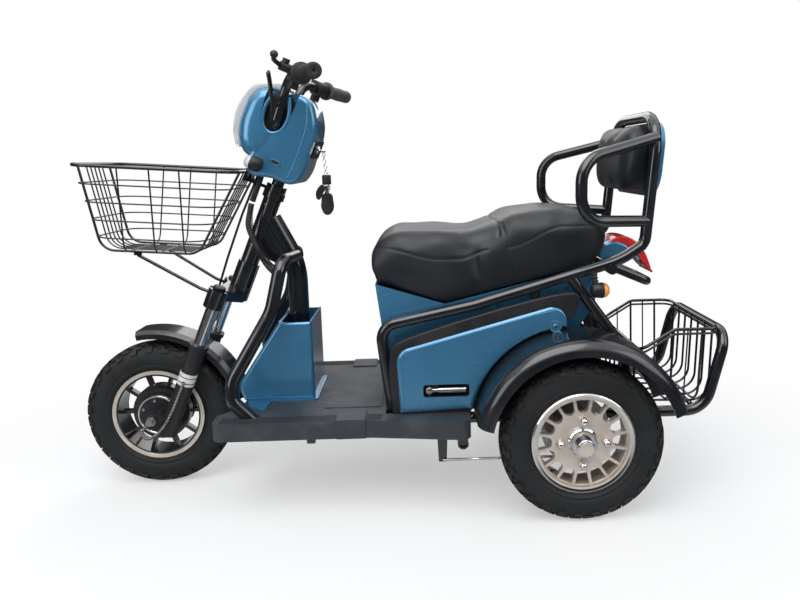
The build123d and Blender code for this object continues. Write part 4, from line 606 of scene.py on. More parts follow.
# the air's light, and the sky that shiny faces mirror, from the horizon up
skyValues = dict(air=(0.93, 0.96, 1.0), ambient=0.55, fromUp=0.30, toUp=0.78, low=0.035, high=1.25)
lampValues = (
    dict(place=(0.3, 1.5, 2.9), aim=(0.0, 0.0, 0.4), size=2.6, power=62),
    dict(place=(2.6, 2.2, 1.5), aim=(0.2, 0.0, 0.5), size=1.8, power=26),
    dict(place=(-2.8, 1.6, 1.7), aim=(-0.3, 0.0, 0.5), size=1.8, power=20),
    dict(place=(0.0, -2.6, 2.2), aim=(0.0, 0.0, 0.5), size=2.2, power=26),
)


def seenRays(tree):
    # the kinds of ray, and 1 for those that the eye gets straight, off a shiny face or through glass
    rays = newNode(tree, "LightPath").outputs
    straight = mathNode(tree, "MAXIMUM", rays["Is Camera Ray"], rays["Is Glossy Ray"])
    return rays, mathNode(tree, "MAXIMUM", straight, rays["Is Transmission Ray"])


def addFloor():
    v = stageValues
    clearSelection()
    bpy.ops.mesh.primitive_plane_add(size=v["size"])
    floor = bpy.context.object
    floor.name = "floor"
    material = bpy.data.materials.new("floor")
    material.use_nodes = True
    tree = material.node_tree
    shader = tree.nodes["Principled BSDF"]
    where = newNode(tree, "TexCoord").outputs["Object"]
    setInput(shader, "Base Color", (*v["color"], 1))
    setInput(shader, "Specular IOR Level", 0.0)
    rough = rangeNode(tree, noiseNode(tree, where, v["grain"], 3), 0.3, 0.7, *v["rough"])
    # the floor fades to white away from the machine, for the eye only
    length = newNode(tree, "VectorMath")
    length.operation = "LENGTH"
    squeeze = newNode(tree, "Mapping")
    setInput(squeeze, "Scale", (v["fadeAhead"], 1.0, 1.0))
    light = newNode(tree, "Emission")
    rays, seen = seenRays(tree)
    # paint and tubes mirror a darker ground than the eye sees
    glow = rangeNode(tree, rays["Is Glossy Ray"], 0, 1, 1, v["mirrored"])
    mix = newNode(tree, "MixShader")
    wire(
        tree, (rough, shader.inputs["Roughness"]), (glow, light.inputs["Strength"]),
        (where, squeeze.inputs["Vector"]), (squeeze.outputs["Vector"], length.inputs[0]))
    away = rangeNode(tree, length.outputs["Value"], v["fadeFrom"], v["fadeTo"], v["lift"], 1)
    wire(
        tree, (mathNode(tree, "MULTIPLY", away, seen), mix.inputs[0]), (shader.outputs[0], mix.inputs[1]),
        (light.outputs[0], mix.inputs[2]), (mix.outputs[0], tree.nodes["Material Output"].inputs["Surface"]))
    floor.data.materials.append(material)


def addWorld():
    v = skyValues
    world = bpy.data.worlds.new("studio")
    bpy.context.scene.world = world
    world.use_nodes = True
    tree = world.node_tree
    back = tree.nodes["Background"]
    setInput(back, "Color", (*v["air"], 1))
    setInput(back, "Strength", v["ambient"])
    white = newNode(tree, "Background")
    setInput(white, "Color", (1, 1, 1, 1))
    rays, seen = seenRays(tree)
    # what shiny faces mirror: a bright sky overhead that falls off to a dark horizon
    sky = newNode(tree, "SeparateXYZ")
    wire(tree, (newNode(tree, "TexCoord").outputs["Generated"], sky.inputs[0]))
    dome = rangeNode(tree, sky.outputs["Z"], v["fromUp"], v["toUp"], v["low"], v["high"])
    strength = newNode(tree, "Mix")
    setInput(strength, "A", 1.0)
    mix = newNode(tree, "MixShader")
    wire(
        tree, (rays["Is Glossy Ray"], strength.inputs["Factor"]), (dome, strength.inputs["B"]),
        (strength.outputs["Result"], white.inputs["Strength"]), (seen, mix.inputs[0]),
        (back.outputs[0], mix.inputs[1]), (white.outputs[0], mix.inputs[2]),
        (mix.outputs[0], tree.nodes["World Output"].inputs["Surface"]))


def addLamps():
    for lamp in lampValues:
        data = bpy.data.lights.new("softbox", "AREA")
        data.size = lamp["size"]
        data.energy = lamp["power"]
        place, aim = Vector(lamp["place"]), Vector(lamp["aim"])
        turn = (aim - place).to_track_quat("-Z", "Y").to_matrix()
        linked("softbox", data).matrix_world = Matrix.Translation(place) @ turn.to_4x4()


addFloor()
addWorld()
addLamps()
bpy.context.scene.view_settings.view_transform = "Standard"
print("camera, floor and lamps set")

# tyres: a spun carcass whose crown and shoulders are cut into blocks
# the tread's bands end at these distances from the middle, and each band is turned on by some steps
tyreValues = dict(
    base=180.5, width=78, bead=108, rim=116, steps=108, blockGap=0.9, blockLift=4.2, treadDepth=14,
    bandEnds=(6.5, 15, 24, 32), bandTurns=(0, 1, 2, 1, 0))


def makeTyre():
    v = tyreValues
    half, base = v["width"] / 2, v["base"]
    side = [
        (half - 10, v["bead"]), (half - 10, v["rim"] + 1), (half - 5, v["rim"] + 9),
        (half - 3.5, v["rim"] + 11), (half - 3.5, v["rim"] + 17), (half - 1.5, v["rim"] + 20),
        (half, v["rim"] + 30), (half - 1, base - 26), (half - 3, base - 17), (half - 8, base - 8),
        (half - 15, base - 2.5), (half - 24, base - 0.3), (half - 33, base + 0.2)]
    profile = [(-h, r) for h, r in side] + [(h, r) for h, r in reversed(side)]
    tyre = spun("tyre", profile + profile[:1], steps=v["steps"])
    pick(tyre)
    setMode("EDIT")
    bpy.ops.mesh.select_mode(type="FACE")
    bpy.ops.mesh.select_all(action="SELECT")
    bpy.ops.mesh.remove_doubles(threshold=weld)
    bpy.ops.mesh.normals_make_consistent(inside=False)
    bpy.ops.mesh.select_all(action="DESELECT")
    setMode("OBJECT")
    for face in tyre.data.polygons:
        centre = face.center
        radius = math.hypot(centre.x, centre.y) / mm
        turn = math.degrees(math.atan2(centre.y, centre.x)) % 360
        index = int(turn / 360 * v["steps"])
        across = abs(centre.z) / mm
        band = sum(across >= end for end in v["bandEnds"])
        if radius < base - v["treadDepth"]:
            continue
        step = index + v["bandTurns"][band] + (1 if centre.z > 0 else 0)
        if band == 4:
            face.select = step % 4 < 2
        else:
            face.select = step % 3 != (1 if band == 3 else 0)
    setMode("EDIT")
    bpy.ops.mesh.inset(thickness=v["blockGap"] * mm, depth=0)
    bpy.ops.mesh.extrude_region_shrink_fatten(TRANSFORM_OT_shrink_fatten={"value": v["blockLift"] * mm})
    setMode("OBJECT")
    setDown(tyre, alongAxis(Vector((0, 0, 0)), (0, 1, 0)))
    return tyre


tyreMaster = makeTyre()
for node, body, place in (
    ("tyre_left", "rear_wheel_left", rearAxle),
    ("tyre_right", "rear_wheel_right", Vector((rearAxle.x, -rearAxle.y, rearAxle.z))),
    ("tyre_front", "front_wheel", frontAxle)):
    tyre = copyOf(tyreMaster, Matrix.Translation(place))
    tyre.name = "treaded_" + node
    finishPiece(tyre, body, "tyreRubber", 30)
    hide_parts(node)
bpy.data.objects.remove(tyreMaster)
print("tyres made")


# cushions: swelled by cloth, with seams pressed in afterwards; where they rest they hardly swell
clothValues = dict(quality=5, steps=20, relax=0.5, restShare=0.15)


def smoothed(obj, times):
    relax = obj.modifiers.new("relax", "SMOOTH")
    relax.factor, relax.iterations = clothValues["relax"], times
    applyAll(obj)


def puffed(node, name, v, shape, seams):
    mesh = nodes[node].data.copy()
    obj = linked(name, mesh)
    pick(obj)
    setMode("EDIT")
    bpy.ops.mesh.select_all(action="SELECT")
    bpy.ops.mesh.remove_doubles(threshold=weld)
    setMode("OBJECT")
    remesh = obj.modifiers.new("remesh", "REMESH")
    remesh.mode = "VOXEL"
    remesh.voxel_size = v["voxel"] * mm
    applyAll(obj)
    for point in obj.data.vertices:
        point.co = shape(point.co)
    smoothed(obj, v["relax"])
    start = [point.co.copy() for point in obj.data.vertices]
    facing = [point.normal.copy() for point in obj.data.vertices]
    cloth = obj.modifiers.new("puff", "CLOTH")
    cloth.settings.use_pressure = True
    cloth.settings.uniform_pressure_force = v["pressure"]
    cloth.settings.effector_weights.gravity = 0
    cloth.settings.quality = clothValues["quality"]
    cloth.point_cache.frame_end = clothValues["steps"]
    for step in range(1, clothValues["steps"] + 1):
        bpy.context.scene.frame_set(step)
    applyAll(obj)
    bpy.context.scene.frame_set(1)
    for point, before, normal in zip(obj.data.vertices, start, facing):
        moved = point.co - before
        rests = normal.z < -0.5 or v["flatBack"] and normal.x < -0.7
        most = v["cap"] * mm * (clothValues["restShare"] if rests else 1.0)
        if moved.length > most:
            point.co = before + moved.normalized() * most
    smoothed(obj, v["settle"])
    swell = obj.modifiers.new("smooth", "SUBSURF")
    swell.levels = swell.render_levels = 1
    applyAll(obj)
    places = [point.co.copy() for point in obj.data.vertices]
    normals = [point.normal.copy() for point in obj.data.vertices]
    for point, place, normal in zip(obj.data.vertices, places, normals):
        point.co = place - normal * seams(place, normal) * mm
    finishPiece(obj, "seat_lid" if node == "seat" else "frame", "seatVinyl", 60)
    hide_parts(node)
    return obj


def easeIn(value, low, high):
    share = min(1.0, max(0.0, (value - low) / (high - low)))
    return share * share * (3 - 2 * share)


def nearLine(value, width):
    return math.exp(-(value / width) ** 2)


# the seat is narrower at the nose, the waist and the tail, and hollowed for the rider
seatValues = dict(
    voxel=5.5, relax=14, settle=22, pressure=4, cap=6, fill=0.75, flatBack=False, narrow=0.985, nose=0.13,
    noseRun=(300, 480), tail=0.10, tailRun=(20, 110), waist=0.10, waistAt=215, waistRun=55, softRise=150,
    dish=7, dishFrom=(210, 300), dishTo=(380, 440))
seatLow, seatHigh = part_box("seat")
seatHalf = seatHigh.y


def shapeSeat(point):
    v = seatValues
    ahead = (point.x - rearAxle.x) / mm
    high = easeIn((point.z - seatLow.z) / mm, 0, v["softRise"])
    narrow = 1 - v["nose"] * easeIn(ahead, *v["noseRun"]) - v["tail"] * easeIn(-ahead, *v["tailRun"])
    narrow -= v["waist"] * nearLine(ahead - v["waistAt"], v["waistRun"]) * high
    across = point.y / seatHalf
    dish = v["dish"] * mm * (1 - across * across) * easeIn(ahead, *v["dishFrom"]) * (
        1 - easeIn(ahead, *v["dishTo"])) * high
    return Vector((point.x, point.y * narrow * v["narrow"], point.z - dish))


# heights are from the rear axle; each seam has its depth and half its width
seamValues = dict(
    axle=185, facing=0.35, saddle=(1.6, 3.2), saddleRise=400, noseUp=26, noseRun=(300, 440), stepUp=20,
    stepRun=(180, 260), saddleFrom=190, pillion=(1.4, 3.2), pillionRise=470, pillionDrop=45,
    pillionRun=(20, 150), crease=(1.5, 3.4), creaseAt=158, creaseLean=0.25, creaseFrom=335, top=(2.2, 4.0),
    topFacing=0.8, topFrom=440, topAt=176, topBow=10)


def seatSeams(point, normal):
    v = seamValues
    ahead, rise = (point.x - rearAxle.x) / mm, point.z / mm - v["axle"]

    def pressed(seam, away):
        return v[seam][0] * nearLine(away, v[seam][1])

    depth = 0.0
    if abs(normal.y) > v["facing"]:
        # the saddle seam sweeps down along the side and up to the step
        sweep = v["noseUp"] * easeIn(ahead, *v["noseRun"]) + v["stepUp"] * (1 - easeIn(ahead, *v["stepRun"]))
        if ahead > v["saddleFrom"]:
            depth += pressed("saddle", rise - v["saddleRise"] - sweep)
        # the pillion seam, and the crease that runs down behind the saddle
        if ahead < v["pillionRun"][1]:
            depth += pressed(
                "pillion", rise - v["pillionRise"] + v["pillionDrop"] * easeIn(ahead, *v["pillionRun"]))
        if rise > v["creaseFrom"]:
            depth += pressed("crease", ahead - v["creaseAt"] + v["creaseLean"] * (v["pillionRise"] - rise))
    if abs(normal.y) < v["topFacing"] and rise > v["topFrom"]:
        depth += pressed("top", ahead - v["topAt"] + v["topBow"] * abs(point.y) / seatHalf)
    return depth


puffed("seat", "seat_cushion", seatValues, shapeSeat, seatSeams)
padValues = dict(
    voxel=5, relax=10, settle=12, pressure=4, cap=8, fill=0.8, flatBack=True, share=0.975, facing=0.35,
    seam=(1.2, 3.0), seamAt=22, seamLean=0.012)
padLow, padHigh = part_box("back_pad")


def shapePad(point):
    middle = (padLow + padHigh) / 2
    return middle + (point - middle) * padValues["share"]


def padSeams(point, normal):
    v = padValues
    if abs(normal.x) > v["facing"]:
        return 0.0
    away = (point.x - padLow.x) / mm - v["seamAt"] - v["seamLean"] * (point.z - padLow.z) / mm
    return v["seam"][0] * nearLine(away, v["seam"][1])


puffed("back_pad", "backrest_cushion", padValues, shapePad, padSeams)
print("cushions made")


def pathPoints(points, step):
    # evenly spaced places and directions along a smooth line through control points
    guide = linked("path", smoothLine("path", points, 24))
    bpy.context.view_layer.update()
    mesh = bpy.data.meshes.new_from_object(guide)
    line = [point.co.copy() for point in mesh.vertices]
    bpy.data.objects.remove(guide)
    places, due, gone = [], 0.0, 0.0
    for first, second in zip(line, line[1:]):
        run = second - first
        while run.length and gone + run.length >= due:
            places.append((first + run * ((due - gone) / run.length), run.normalized()))
            due += step * mm
        gone += run.length
    return places


def wound(name, points, radius, thickness, pitch, steps=12):
    # a wire wound round a line
    turns = []
    for count, (place, way) in enumerate(pathPoints(points, pitch / steps)):
        sideways = way.cross(Vector((0.3, 1, 0.2))).normalized()
        angle = 2 * math.pi * count / steps
        turns.append(
            place + (sideways * math.cos(angle) + way.cross(sideways) * math.sin(angle)) * radius * mm)
    return tube(name, turns, thickness)


def rings(name, points, radius, thickness, step):
    # one ring made once and set along a line
    master = torus("ring", radius, thickness, 24)
    made = [copyOf(master, alongAxis(place, way)) for place, way in pathPoints(points, step)]
    bpy.data.objects.remove(master)
    return joinPieces(name, made)


# head housing: a round bowl in front, a flatter body behind, and a well on each side for the handlebar;
# outlines are ahead and up from the fork's foot, and a third value makes a corner sharp
housingValues = dict(
    half=84, edge=30, bodyHalf=80, bodyEdge=17,
    bowl=[
        (44, 878), (88, 872), (113, 850), (122, 802), (117, 752), (100, 718), (74, 704), (44, 716), (24, 790),
        (26, 860)],
    body=[
        (38, 872), (70, 846), (76, 770), (76, 700), (66, 669), (8, 674), (-48, 681), (-59, 702), (-60, 760),
        (-58, 806), (-42, 850), (-14, 880)],
    well=[(12, 960, 1), (13, 812), (22, 784), (44, 772), (66, 784), (76, 812), (77, 960, 1)], wellFloor=60,
    wellOut=130, wellMiddle=(44, 800), wellShrink=(0.93, 0.92), linerTop=[(16, 862), (72, 862)],
    lip=[(30, 866), (16, 838), (14, 806), (24, 782), (44, 771), (66, 783), (74, 808), (74, 838), (64, 864)],
    vent=[(-6, 713), (8, 718), (22, 717), (10, 708)], ventRim=[(-8, 713), (8, 720), (24, 718), (10, 706)],
    # ahead of the ridge's foot, up, and how far each next ridge is lower
    ridge=[(22, 868, 6), (6, 838, 4), (1, 800, 0), (0, 750, 0), (0, 712, 0), (4, 690, 0)], ridgeFoot=-34,
    ridgeStep=8,
    lens=[
        (50, 884), (88, 880), (118, 862), (131, 832), (137, 798), (133, 762), (120, 730), (104, 716),
        (112, 745), (117, 800), (108, 848), (84, 868)],
    lensHalf=66, lampFoot=(98, 0, 800),
    lampBowl=[(0, 0), (0, 18), (16, 40), (20, 42), (20, 44), (-2, 22), (-3, 0)],
)


def makeHousing():
    v = housingValues
    out = v["bodyHalf"]
    bowl = slab("housing_bowl", v["bowl"], -v["half"], v["half"], v["edge"], forkFrame)
    body = slab("housing_body", v["body"], -out, out, v["bodyEdge"], forkFrame)
    for piece in (bowl, body):
        for side, word in sides:
            cutBy(piece, slab("cutter", v["well"], v["wellFloor"] * side, v["wellOut"] * side, 1, forkFrame))
        finishPiece(piece, "steering", "bluePaint", 50)
    for side, word in sides:
        lip = forkLine([(t, out - 2.5, s) for t, s in v["lip"]], side)
        finishPiece(tube("well_lip_" + word, lip, 5), "steering", "bluePaint")
        well = [
            [m + (p - m) * k for p, m, k in zip(point, v["wellMiddle"], v["wellShrink"])]
            for point in v["well"][1:-1]]
        finishPiece(
            slab(
                "well_floor_" + word, v["linerTop"][:1] + well + v["linerTop"][1:],
                (v["wellFloor"] - 2) * side, (v["wellFloor"] + 3) * side, 1, forkFrame), "steering",
            "blackPlastic")
        finishPiece(
            slab("vent_" + word, v["vent"], (out - 3) * side, (out + 0.6) * side, 0.6, forkFrame), "steering",
            "blackPlastic")
        rim = forkLine([(t, out + 0.2, s) for t, s in v["ventRim"]], side)
        finishPiece(tube("vent_rim_" + word, rim, 1.1, closed=True), "steering", "bluePaint")
        ridges = []
        for step in range(3):
            foot = v["ridgeFoot"] - v["ridgeStep"] * step
            line = [(foot + t, out - 0.8 - 1.8 * step * step, s - drop * step) for t, s, drop in v["ridge"]]
            ridges.append(tube("ridge", forkLine(line, side), 1.9))
        finishPiece(joinPieces("housing_ridges_" + word, ridges), "steering", "bluePaint")
        finishPiece(
            box("dash_window_" + word, (5, 30, 9), (-58.5, 776, -66 * side), forkFrame, 1), "steering",
            "clearLens" if side > 0 else "blackPlastic")
    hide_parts("head_housing")
    lens = finishPiece(
        slab("lamp_lens", v["lens"], -v["lensHalf"], v["lensHalf"], 5, forkFrame), "steering", "clearLens", 50
    )
    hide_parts("headlamp_lens")
    turned(
        "steering", "chrome", "lamp_bowl", v["lampBowl"],
        alongAxis(onFork(*v["lampFoot"]), forkFrame.col[0].xyz))


makeHousing()
print("head housing made")


# indicators: a domed body, a lens and a ribbed rubber stalk
indicatorValues = dict(radius=17.5, root=14, stalk=6, collar=8, collars=4, firstCollar=0.25, nextCollar=0.18)


def makeIndicator(name, body, place, way, stalkFrom, lensFinish):
    v = indicatorValues
    size, stalk, collar = v["radius"], v["stalk"], v["collar"]
    at = alongAxis(place, way)
    shell = spun(
        name,
        [
            (0, 0), (0, size * 0.45), (3, size * 0.75), (9, size * 0.95), (17, size), (27, size + 0.6),
            (28, size), (28, size - 3), (20, 0)], at, 48)
    finishPiece(shell, body, "blackPlastic")
    lens = spun(
        name + "_lens",
        [(27.5, 0), (27.5, size - 0.8), (33, size - 1.2), (38, size - 4), (41, size - 8.5), (42, 0)], at, 48)
    finishPiece(lens, body, lensFinish)
    root = place + Vector(way).normalized() * v["root"] * mm
    run = stalkFrom - root
    length = run.length / mm
    profile = [(0, 0), (0, stalk)]
    for count in range(v["collars"]):
        start = length * (v["firstCollar"] + v["nextCollar"] * count)
        profile += [(start, stalk), (start + 1.2, collar), (start + 2.6, collar), (start + 3.6, stalk)]
    profile += [(length, collar), (length, 0)]
    turned(body, "gripRubber", name + "_stalk", profile, alongAxis(root, run), 32)
    return shell, lens


for side, word in sides:
    made = dict(
        front=makeIndicator(
            "front_indicator_" + word, "steering", onFork(28, 106 * side, 696), forkFrame.col[0].xyz,
            onFork(42, 78 * side, 696), "clearLens"),
        rear=makeIndicator(
            "rear_indicator_" + word, "frame", onBody(-34, 200 * side, 327), (-1, 0, 0),
            onBody(-44, 186 * side, 368), "amberLens"))
    for end, (shell, lens) in made.items():
        if side > 0:
            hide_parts(end + "_indicators")
            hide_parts(end + "_indicator_lenses")
print("indicators made")

# handlebar ends: grips, bright collars and the cables into the well
gripValues = dict(
    tip=(-43, 292, 932), root=(44, 82, 912), length=112, radius=15.4, rib=1.2, ribs=18, flange=24,
    collar=[(150, 11.2), (150, 15), (151, 16), (158, 16), (159, 15), (159, 11.2)],
    brakeCable=[(64, 196, 898), (64, 170, 888), (62, 120, 862), (56, 86, 832), (48, 72, 796)],
    switchCable=[(14, 168, 888), (34, 130, 868), (50, 92, 840), (52, 72, 800)],
)


def makeGrips():
    v = gripValues
    length, radius, flange = v["length"], v["radius"], v["flange"]
    for side, word in sides:
        tip, root = forkLine([v["tip"], v["root"]], side)
        inward = alongAxis(tip, root - tip)
        profile = [
            (4, 2.6), (-2, 3), (-3.2, 4.5), (-3.6, 13), (-1.5, radius + 1.2), (5, radius + 1.8), (6, radius)]
        if side > 0:
            span = (length - 18) / v["ribs"]
            for count in range(v["ribs"]):
                start = 8 + span * count
                profile += [
                    (start, radius), (start + span * 0.25, radius + v["rib"]),
                    (start + span * 0.6, radius + v["rib"]), (start + span * 0.8, radius)]
        else:
            profile += [(20, radius + 1.4), (45, radius + 2.2), (80, radius + 1.0)]
        profile += [
            (length - 9, radius), (length - 8, flange - 3), (length - 5, flange), (length - 1, flange),
            (length, flange - 3), (length, 11.4)]
        grip = spun("grip_" + word, profile, inward)
        finishPiece(grip, "steering", "gripRubber" if side > 0 else "gripKnurl")
        if side > 0:
            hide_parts("grips")
        turned("steering", "steel", "bar_collar_" + word, v["collar"], inward)
        line = forkLine(v["brakeCable"], side)
        finishPiece(tube("lever_cable_" + word, line, 3.1), "steering", "hoseBlack")
        finishPiece(wound("cable_wrap_" + word, line, 4.0, 1.1, 6.5), "steering", "blackPlastic")
        finishPiece(
            tube("switch_cable_" + word, forkLine(v["switchCable"], side), 1.8), "steering", "hoseBlack")


makeGrips()
print("grips and cables made")

# keys hanging from the dash; the outlines hang below the chain's end
keyValues = dict(
    place=(-64, 30, 776), barrel=[(0, 0), (0, 11), (2, 11), (3, 9), (6, 8.5), (6, 4), (9, 4), (9, 0)],
    link=3.6, wire=0.9, links=7, pitch=7.2, stretch=1.35, ring=9,
    strap=[(-5, -24), (5, -24), (6, -48), (-4, -48)],
    fob=[(-9, -44), (9, -44), (15, -62), (14, -84), (2, -96), (-12, -86), (-14, -60)],
    small=[(8, -22), (18, -26), (26, -52), (20, -58), (13, -50)],
)


def makeKeys():
    v = keyValues
    ahead, out, up = v["place"]
    turned(
        "steering", "chrome", "key_barrel", v["barrel"],
        alongAxis(onFork(*v["place"]), -forkFrame.col[0].xyz), 40)
    bow = box("key_bow", (14, 16, 3.2), (0, 0, 0), edge=1)
    setDown(bow, Matrix.Translation(onFork(ahead - 15, out, up)))
    finishPiece(bow, "steering", "blackPlastic")
    top = onFork(ahead - 18, out, up) - Vector((0, 0, 6 * mm))
    links = [
        torus(
            "link", v["link"], v["wire"], 20, top - Vector((0.6 * count * mm, 0, v["pitch"] * count * mm)),
            (math.pi / 2, 0, math.pi / 2 * (count % 2)), v["stretch"])
        for count in range(v["links"])]
    finishPiece(joinPieces("key_chain", links), "steering", "chrome")
    low = top - Vector((4 * mm, 0, v["pitch"] * v["links"] * mm))
    finishPiece(
        box("key_block", (21, 13, 24), (0, 0, -10), Matrix.Translation(low), 3), "steering", "blackPlastic")
    loop = torus("key_loop", v["ring"], 1.1, 32, low - Vector((-1 * mm, 0, 30 * mm)), (math.pi / 2, 0, 0.5))
    finishPiece(loop, "steering", "chrome")
    hanging = frameOf(Vector((1, 0, 0)), Vector((0, 0, 1)), low)
    finishPiece(slab("key_strap", v["strap"], -2, 2, 0.8, hanging, smooth=False), "steering", "steel")
    fob = finishPiece(slab("key_oval", v["fob"], -5, 5, 3, hanging), "steering", "blackPlastic")
    finishPiece(slab("small_key", v["small"], 4, 9, 1, hanging), "steering", "blackPlastic")
    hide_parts("key_fob")


makeKeys()

# side panels: black trim, partly painted shade up to the rail; a raised line, the lock and the peg's bolt
panelValues = dict(
    arc=246, arcTurns=(82, 66, 50, 34, 20, 12), face=205.8, trimAndShadeFrom=183, trimAndShadeTo=201,
    trimAndShade=[(424, 46, 1), (427, 186), (418, 208), (396, 222), (20, 322), (-8, 316), (-10, 300), (14, 262, 1)],
    line=[(398, 58), (402, 178), (392, 194), (368, 202), (60, 284), (34, 284), (26, 268)], slot=(124, 44, 40),
    slotAt=(299, 102, 192), lockAt=(47, 247), boltAt=(338, 203.6, 102), plateAt=(330, 102, 187.6),
    lock=[(-1, 14), (1.2, 14), (1.8, 12.5), (0.9, 10.5), (0.9, 6.5), (2.2, 5.5), (2.2, 0)],
    core=[(2.0, 0), (2.0, 4.4), (2.6, 3.8), (2.6, 0)],
    bolt=[(-2, 0), (-2, 8), (1.5, 8), (2.6, 6.5), (2.8, 0)],
)


def makePanelParts():
    v = panelValues
    turns = [math.radians(turn) for turn in v["arcTurns"]]
    arc = [(v["arc"] * math.cos(turn), v["arc"] * math.sin(turn)) for turn in turns]
    for side, word in sides:
        out = Vector((1, 1, -side))
        # a black sheet behind the panel: the real trim, and past it painted shade that fills the gap up to
        # the rail
        trimAndShade = slab(
            "panel_trim_and_shade_" + word, v["trimAndShade"] + arc, v["trimAndShadeFrom"] * side, v["trimAndShadeTo"] * side, 3, bodyFrame,
            detail=12)
        cutBy(trimAndShade, box("cutter", v["slot"], out * Vector(v["slotAt"]), bodyFrame))
        finishPiece(trimAndShade, "frame", "blackPlastic")
        line = tube("panel_line_" + word, [onBody(a, v["face"] * side, r) for a, r in v["line"]], 0.9)
        finishPiece(line, "frame", "bluePaint")
        face = alongAxis(onBody(v["lockAt"][0], v["face"] * side, v["lockAt"][1]), (0, side, 0))
        turned("frame", "bluePaint", "panel_lock_" + word, v["lock"], face)
        turned("frame", "steel", "lock_core_" + word, v["core"], face, 32)
        ahead, away, rise = v["boltAt"]
        turned(
            "frame", "steel", "peg_bolt_" + word, v["bolt"],
            alongAxis(onBody(ahead, away * side, rise), (0, side, 0)), 32)
        finishPiece(
            box("peg_plate_" + word, (28, 14, 1.6), out * Vector(v["plateAt"]), bodyFrame, 0.5), "frame",
            "steel")


makePanelParts()
print("panel parts made")

# footboard: raised ribs along both edges
ribValues = dict(
    start=448, end=818, first=196, ribs=7, pitch=5.2, width=2.4, height=1.5, sunk=0.3, deckTop=47)


def makeRibs():
    v = ribValues
    master = box("rib", (v["end"] - v["start"], v["width"], v["height"]), (0, 0, 0), edge=0.5)
    for side, word in sides:
        made = []
        for count in range(v["ribs"]):
            place = onBody(
                (v["start"] + v["end"]) / 2, (v["first"] + v["pitch"] * count) * side,
                v["deckTop"] + v["height"] / 2 - v["sunk"])
            made.append(copyOf(master, Matrix.Translation(place)))
        finishPiece(joinPieces("deck_ribs_" + word, made), "frame", "deckEdge")
    bpy.data.objects.remove(master)


makeRibs()

# tail fairing and lamp
tailValues = dict(
    fairing=[(-86, 374, 1), (-100, 404), (-120, 417), (-152, 413), (-176, 396), (-198, 372, 1)],
    lamp=[
        (-122, 417, 1), (-152, 411), (-178, 392), (-198, 370), (-214, 350), (-230, 336, 1), (-222, 362),
        (-206, 396), (-186, 418), (-158, 430), (-132, 427)],
)
fairing = slab("tail_cover", tailValues["fairing"], -48, 48, 7, bodyFrame, detail=14)
finishPiece(fairing, "frame", "bluePaint", 50)
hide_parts("tail_fairing")
lamp = slab("tail_light", tailValues["lamp"], -43, 43, 4, bodyFrame, detail=14)
finishPiece(lamp, "frame", "redLens", 50)
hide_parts("tail_lamp")
print("deck and tail made")

# wheels: nuts, bright lips, caps, the motor's ring and bolts;
# profiles are out from the middle and away from the axle
wheelValues = dict(
    nutCircle=52, nuts=4, nutAt=289,
    lip=[
        (289.5, 104.5), (292.5, 109.5), (293.1, 113.5), (291.5, 115.5), (288.5, 114.5), (287.5, 105.5),
        (289.5, 104.5)],
    hubRing=[(280, 31), (284, 34), (287, 34), (290, 31), (290, 27)],
    capTop=[(317.5, 16), (319, 15), (319.6, 9), (319.8, 0)],
    nut=[(-2, 0), (-2, 9.5), (3, 9.5), (5, 8.2), (8.5, 6.4), (10.5, 3), (11, 0)],
    valve=[(0, 0), (0, 3.2), (8, 3.2), (9, 2.6), (16, 2.6), (17, 1.6), (17, 0)], valveAt=(70, 272, -70),
    valveWay=(-0.5, 0.9, 0.5), bolt=[(-1, 0), (-1, 4.5), (2, 4.5), (3, 3.6), (3, 0)], bolts=6, boltCircle=38,
    boltAt=36, boltTurn=0.4,
    frontRing=[(32.6, 106), (33.8, 107), (34.2, 112), (33.8, 116), (32.2, 116), (32.2, 106), (32.6, 106)],
    motorTrim=[(36, 46), (37.4, 47), (37.4, 50), (36, 51)],
    frontValve=[(0, 0), (0, 3.6), (7, 3.6), (7, 2.6), (14, 2.6), (14, 4), (22, 4), (23, 2.5), (23, 0)],
    frontValveAt=(66, 12, -80), frontValveWay=(-0.6, 0.2, 0.75),
)
# the fork's legs and the motor's lead
legValues = dict(
    foot=(34, 66, 0), band=[(118, 20.5), (118, 21.6), (150, 21.6), (150, 20.5)],
    lines=[(125, 21), (125, 21.9), (127, 21.9), (127, 21), (139, 21), (139, 21.9), (141, 21.9), (141, 21)],
    cap=[(376, 0), (376, 15), (380, 15), (382, 13), (382, 0)],
    lead=[(74, 78, -6), (96, 92, -22), (70, 98, -44), (44, 98, -10), (34, 92, 50), (34, 90, 130)],
)


def circled(name, master, count, centre, radius, out, side, first=0.0):
    # copies of a nut or bolt in a circle round an axle, joined
    made = []
    for step in range(count):
        turn = 2 * math.pi / count * step + first
        place = centre + Vector((math.cos(turn) * radius, out * side, math.sin(turn) * radius)) * mm
        made.append(copyOf(master, alongAxis(place, (0, side, 0))))
    return joinPieces(name, made)


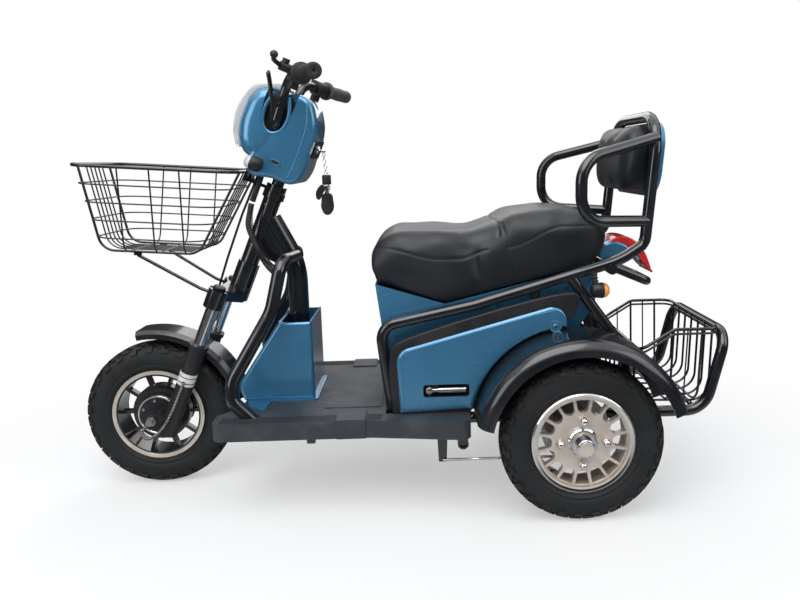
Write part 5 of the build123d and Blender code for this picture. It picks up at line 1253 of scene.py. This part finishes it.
def makeWheelParts():
    v = wheelValues
    centre = Vector((rearAxle.x, 0, rearAxle.z))
    nut = spun("nut", v["nut"], steps=24)
    for side, word in sides:
        body, axis = "rear_wheel_" + word, alongAxis(centre, (0, side, 0))
        finishPiece(
            circled("wheel_nuts_" + word, nut, v["nuts"], centre, v["nutCircle"], v["nutAt"], side), body,
            "chrome")
        turned(body, "chrome", "rim_lip_" + word, v["lip"], axis, 96)
        turned(body, "chrome", "hub_ring_" + word, v["hubRing"], axis)
        turned(body, "alloy", "cap_top_" + word, v["capTop"], axis, 48)
        outward = Vector((1, side, 1))
        stem = alongAxis(centre + Vector(v["valveAt"]) * outward * mm, Vector(v["valveWay"]) * outward)
        turned(body, "blackPlastic", "valve_" + word, v["valve"], stem, 20)
    bpy.data.objects.remove(nut)
    bolt = spun("bolt", v["bolt"], steps=6)
    for side, word in sides:
        axis = alongAxis(frontAxle, (0, side, 0))
        turned("front_wheel", "frontRing", "front_ring_" + word, v["frontRing"], axis, 96)
        turned("front_wheel", "chrome", "motor_trim_" + word, v["motorTrim"], axis)
        finishPiece(
            circled(
                "motor_bolts_" + word, bolt, v["bolts"], frontAxle, v["boltCircle"], v["boltAt"], side,
                v["boltTurn"]), "front_wheel", "steel")
    bpy.data.objects.remove(bolt)
    stem = alongAxis(frontAxle + Vector(v["frontValveAt"]) * mm, v["frontValveWay"])
    turned("front_wheel", "brass", "front_valve", v["frontValve"], stem, 20)


def makeLegParts():
    v = legValues
    lead = forkLine(v["lead"])
    finishPiece(tube("motor_lead", lead, 3.2), "steering", "hoseBlack")
    finishPiece(wound("motor_lead_wrap", lead, 3.4, 0.8, 4.0, 10), "steering", "steel")
    for side, word in sides:
        leg = alongAxis(forkLine([v["foot"]], side)[0], steerAxis)
        turned("steering", "paleBand", "leg_band_" + word, v["band"], leg, 48)
        turned("steering", "blackPlastic", "leg_lines_" + word, v["lines"], leg, 48)
        turned("steering", "blackPlastic", "leg_cap_" + word, v["cap"], leg, 32)


makeWheelParts()
makeLegParts()
print("wheel parts made")

# corrugated loom over the cable beside the head tube, in two lengths so that the steering turns
loomValues = dict(
    radius=6.3, wire=1.3, pitch=4, head=[(36, 40, 660), (36, 40, 604)],
    frame=[(36, 40, 594), (26, 50, 543), (-43, 56, 474), (-96, 92, 470)])
for end, body in (("head", "steering"), ("frame", "frame")):
    v = loomValues
    finishPiece(
        rings("loom_rings_" + end, forkLine(v[end]), v["radius"], v["wire"], v["pitch"]), body, "blackPlastic"
    )
print("loom made")
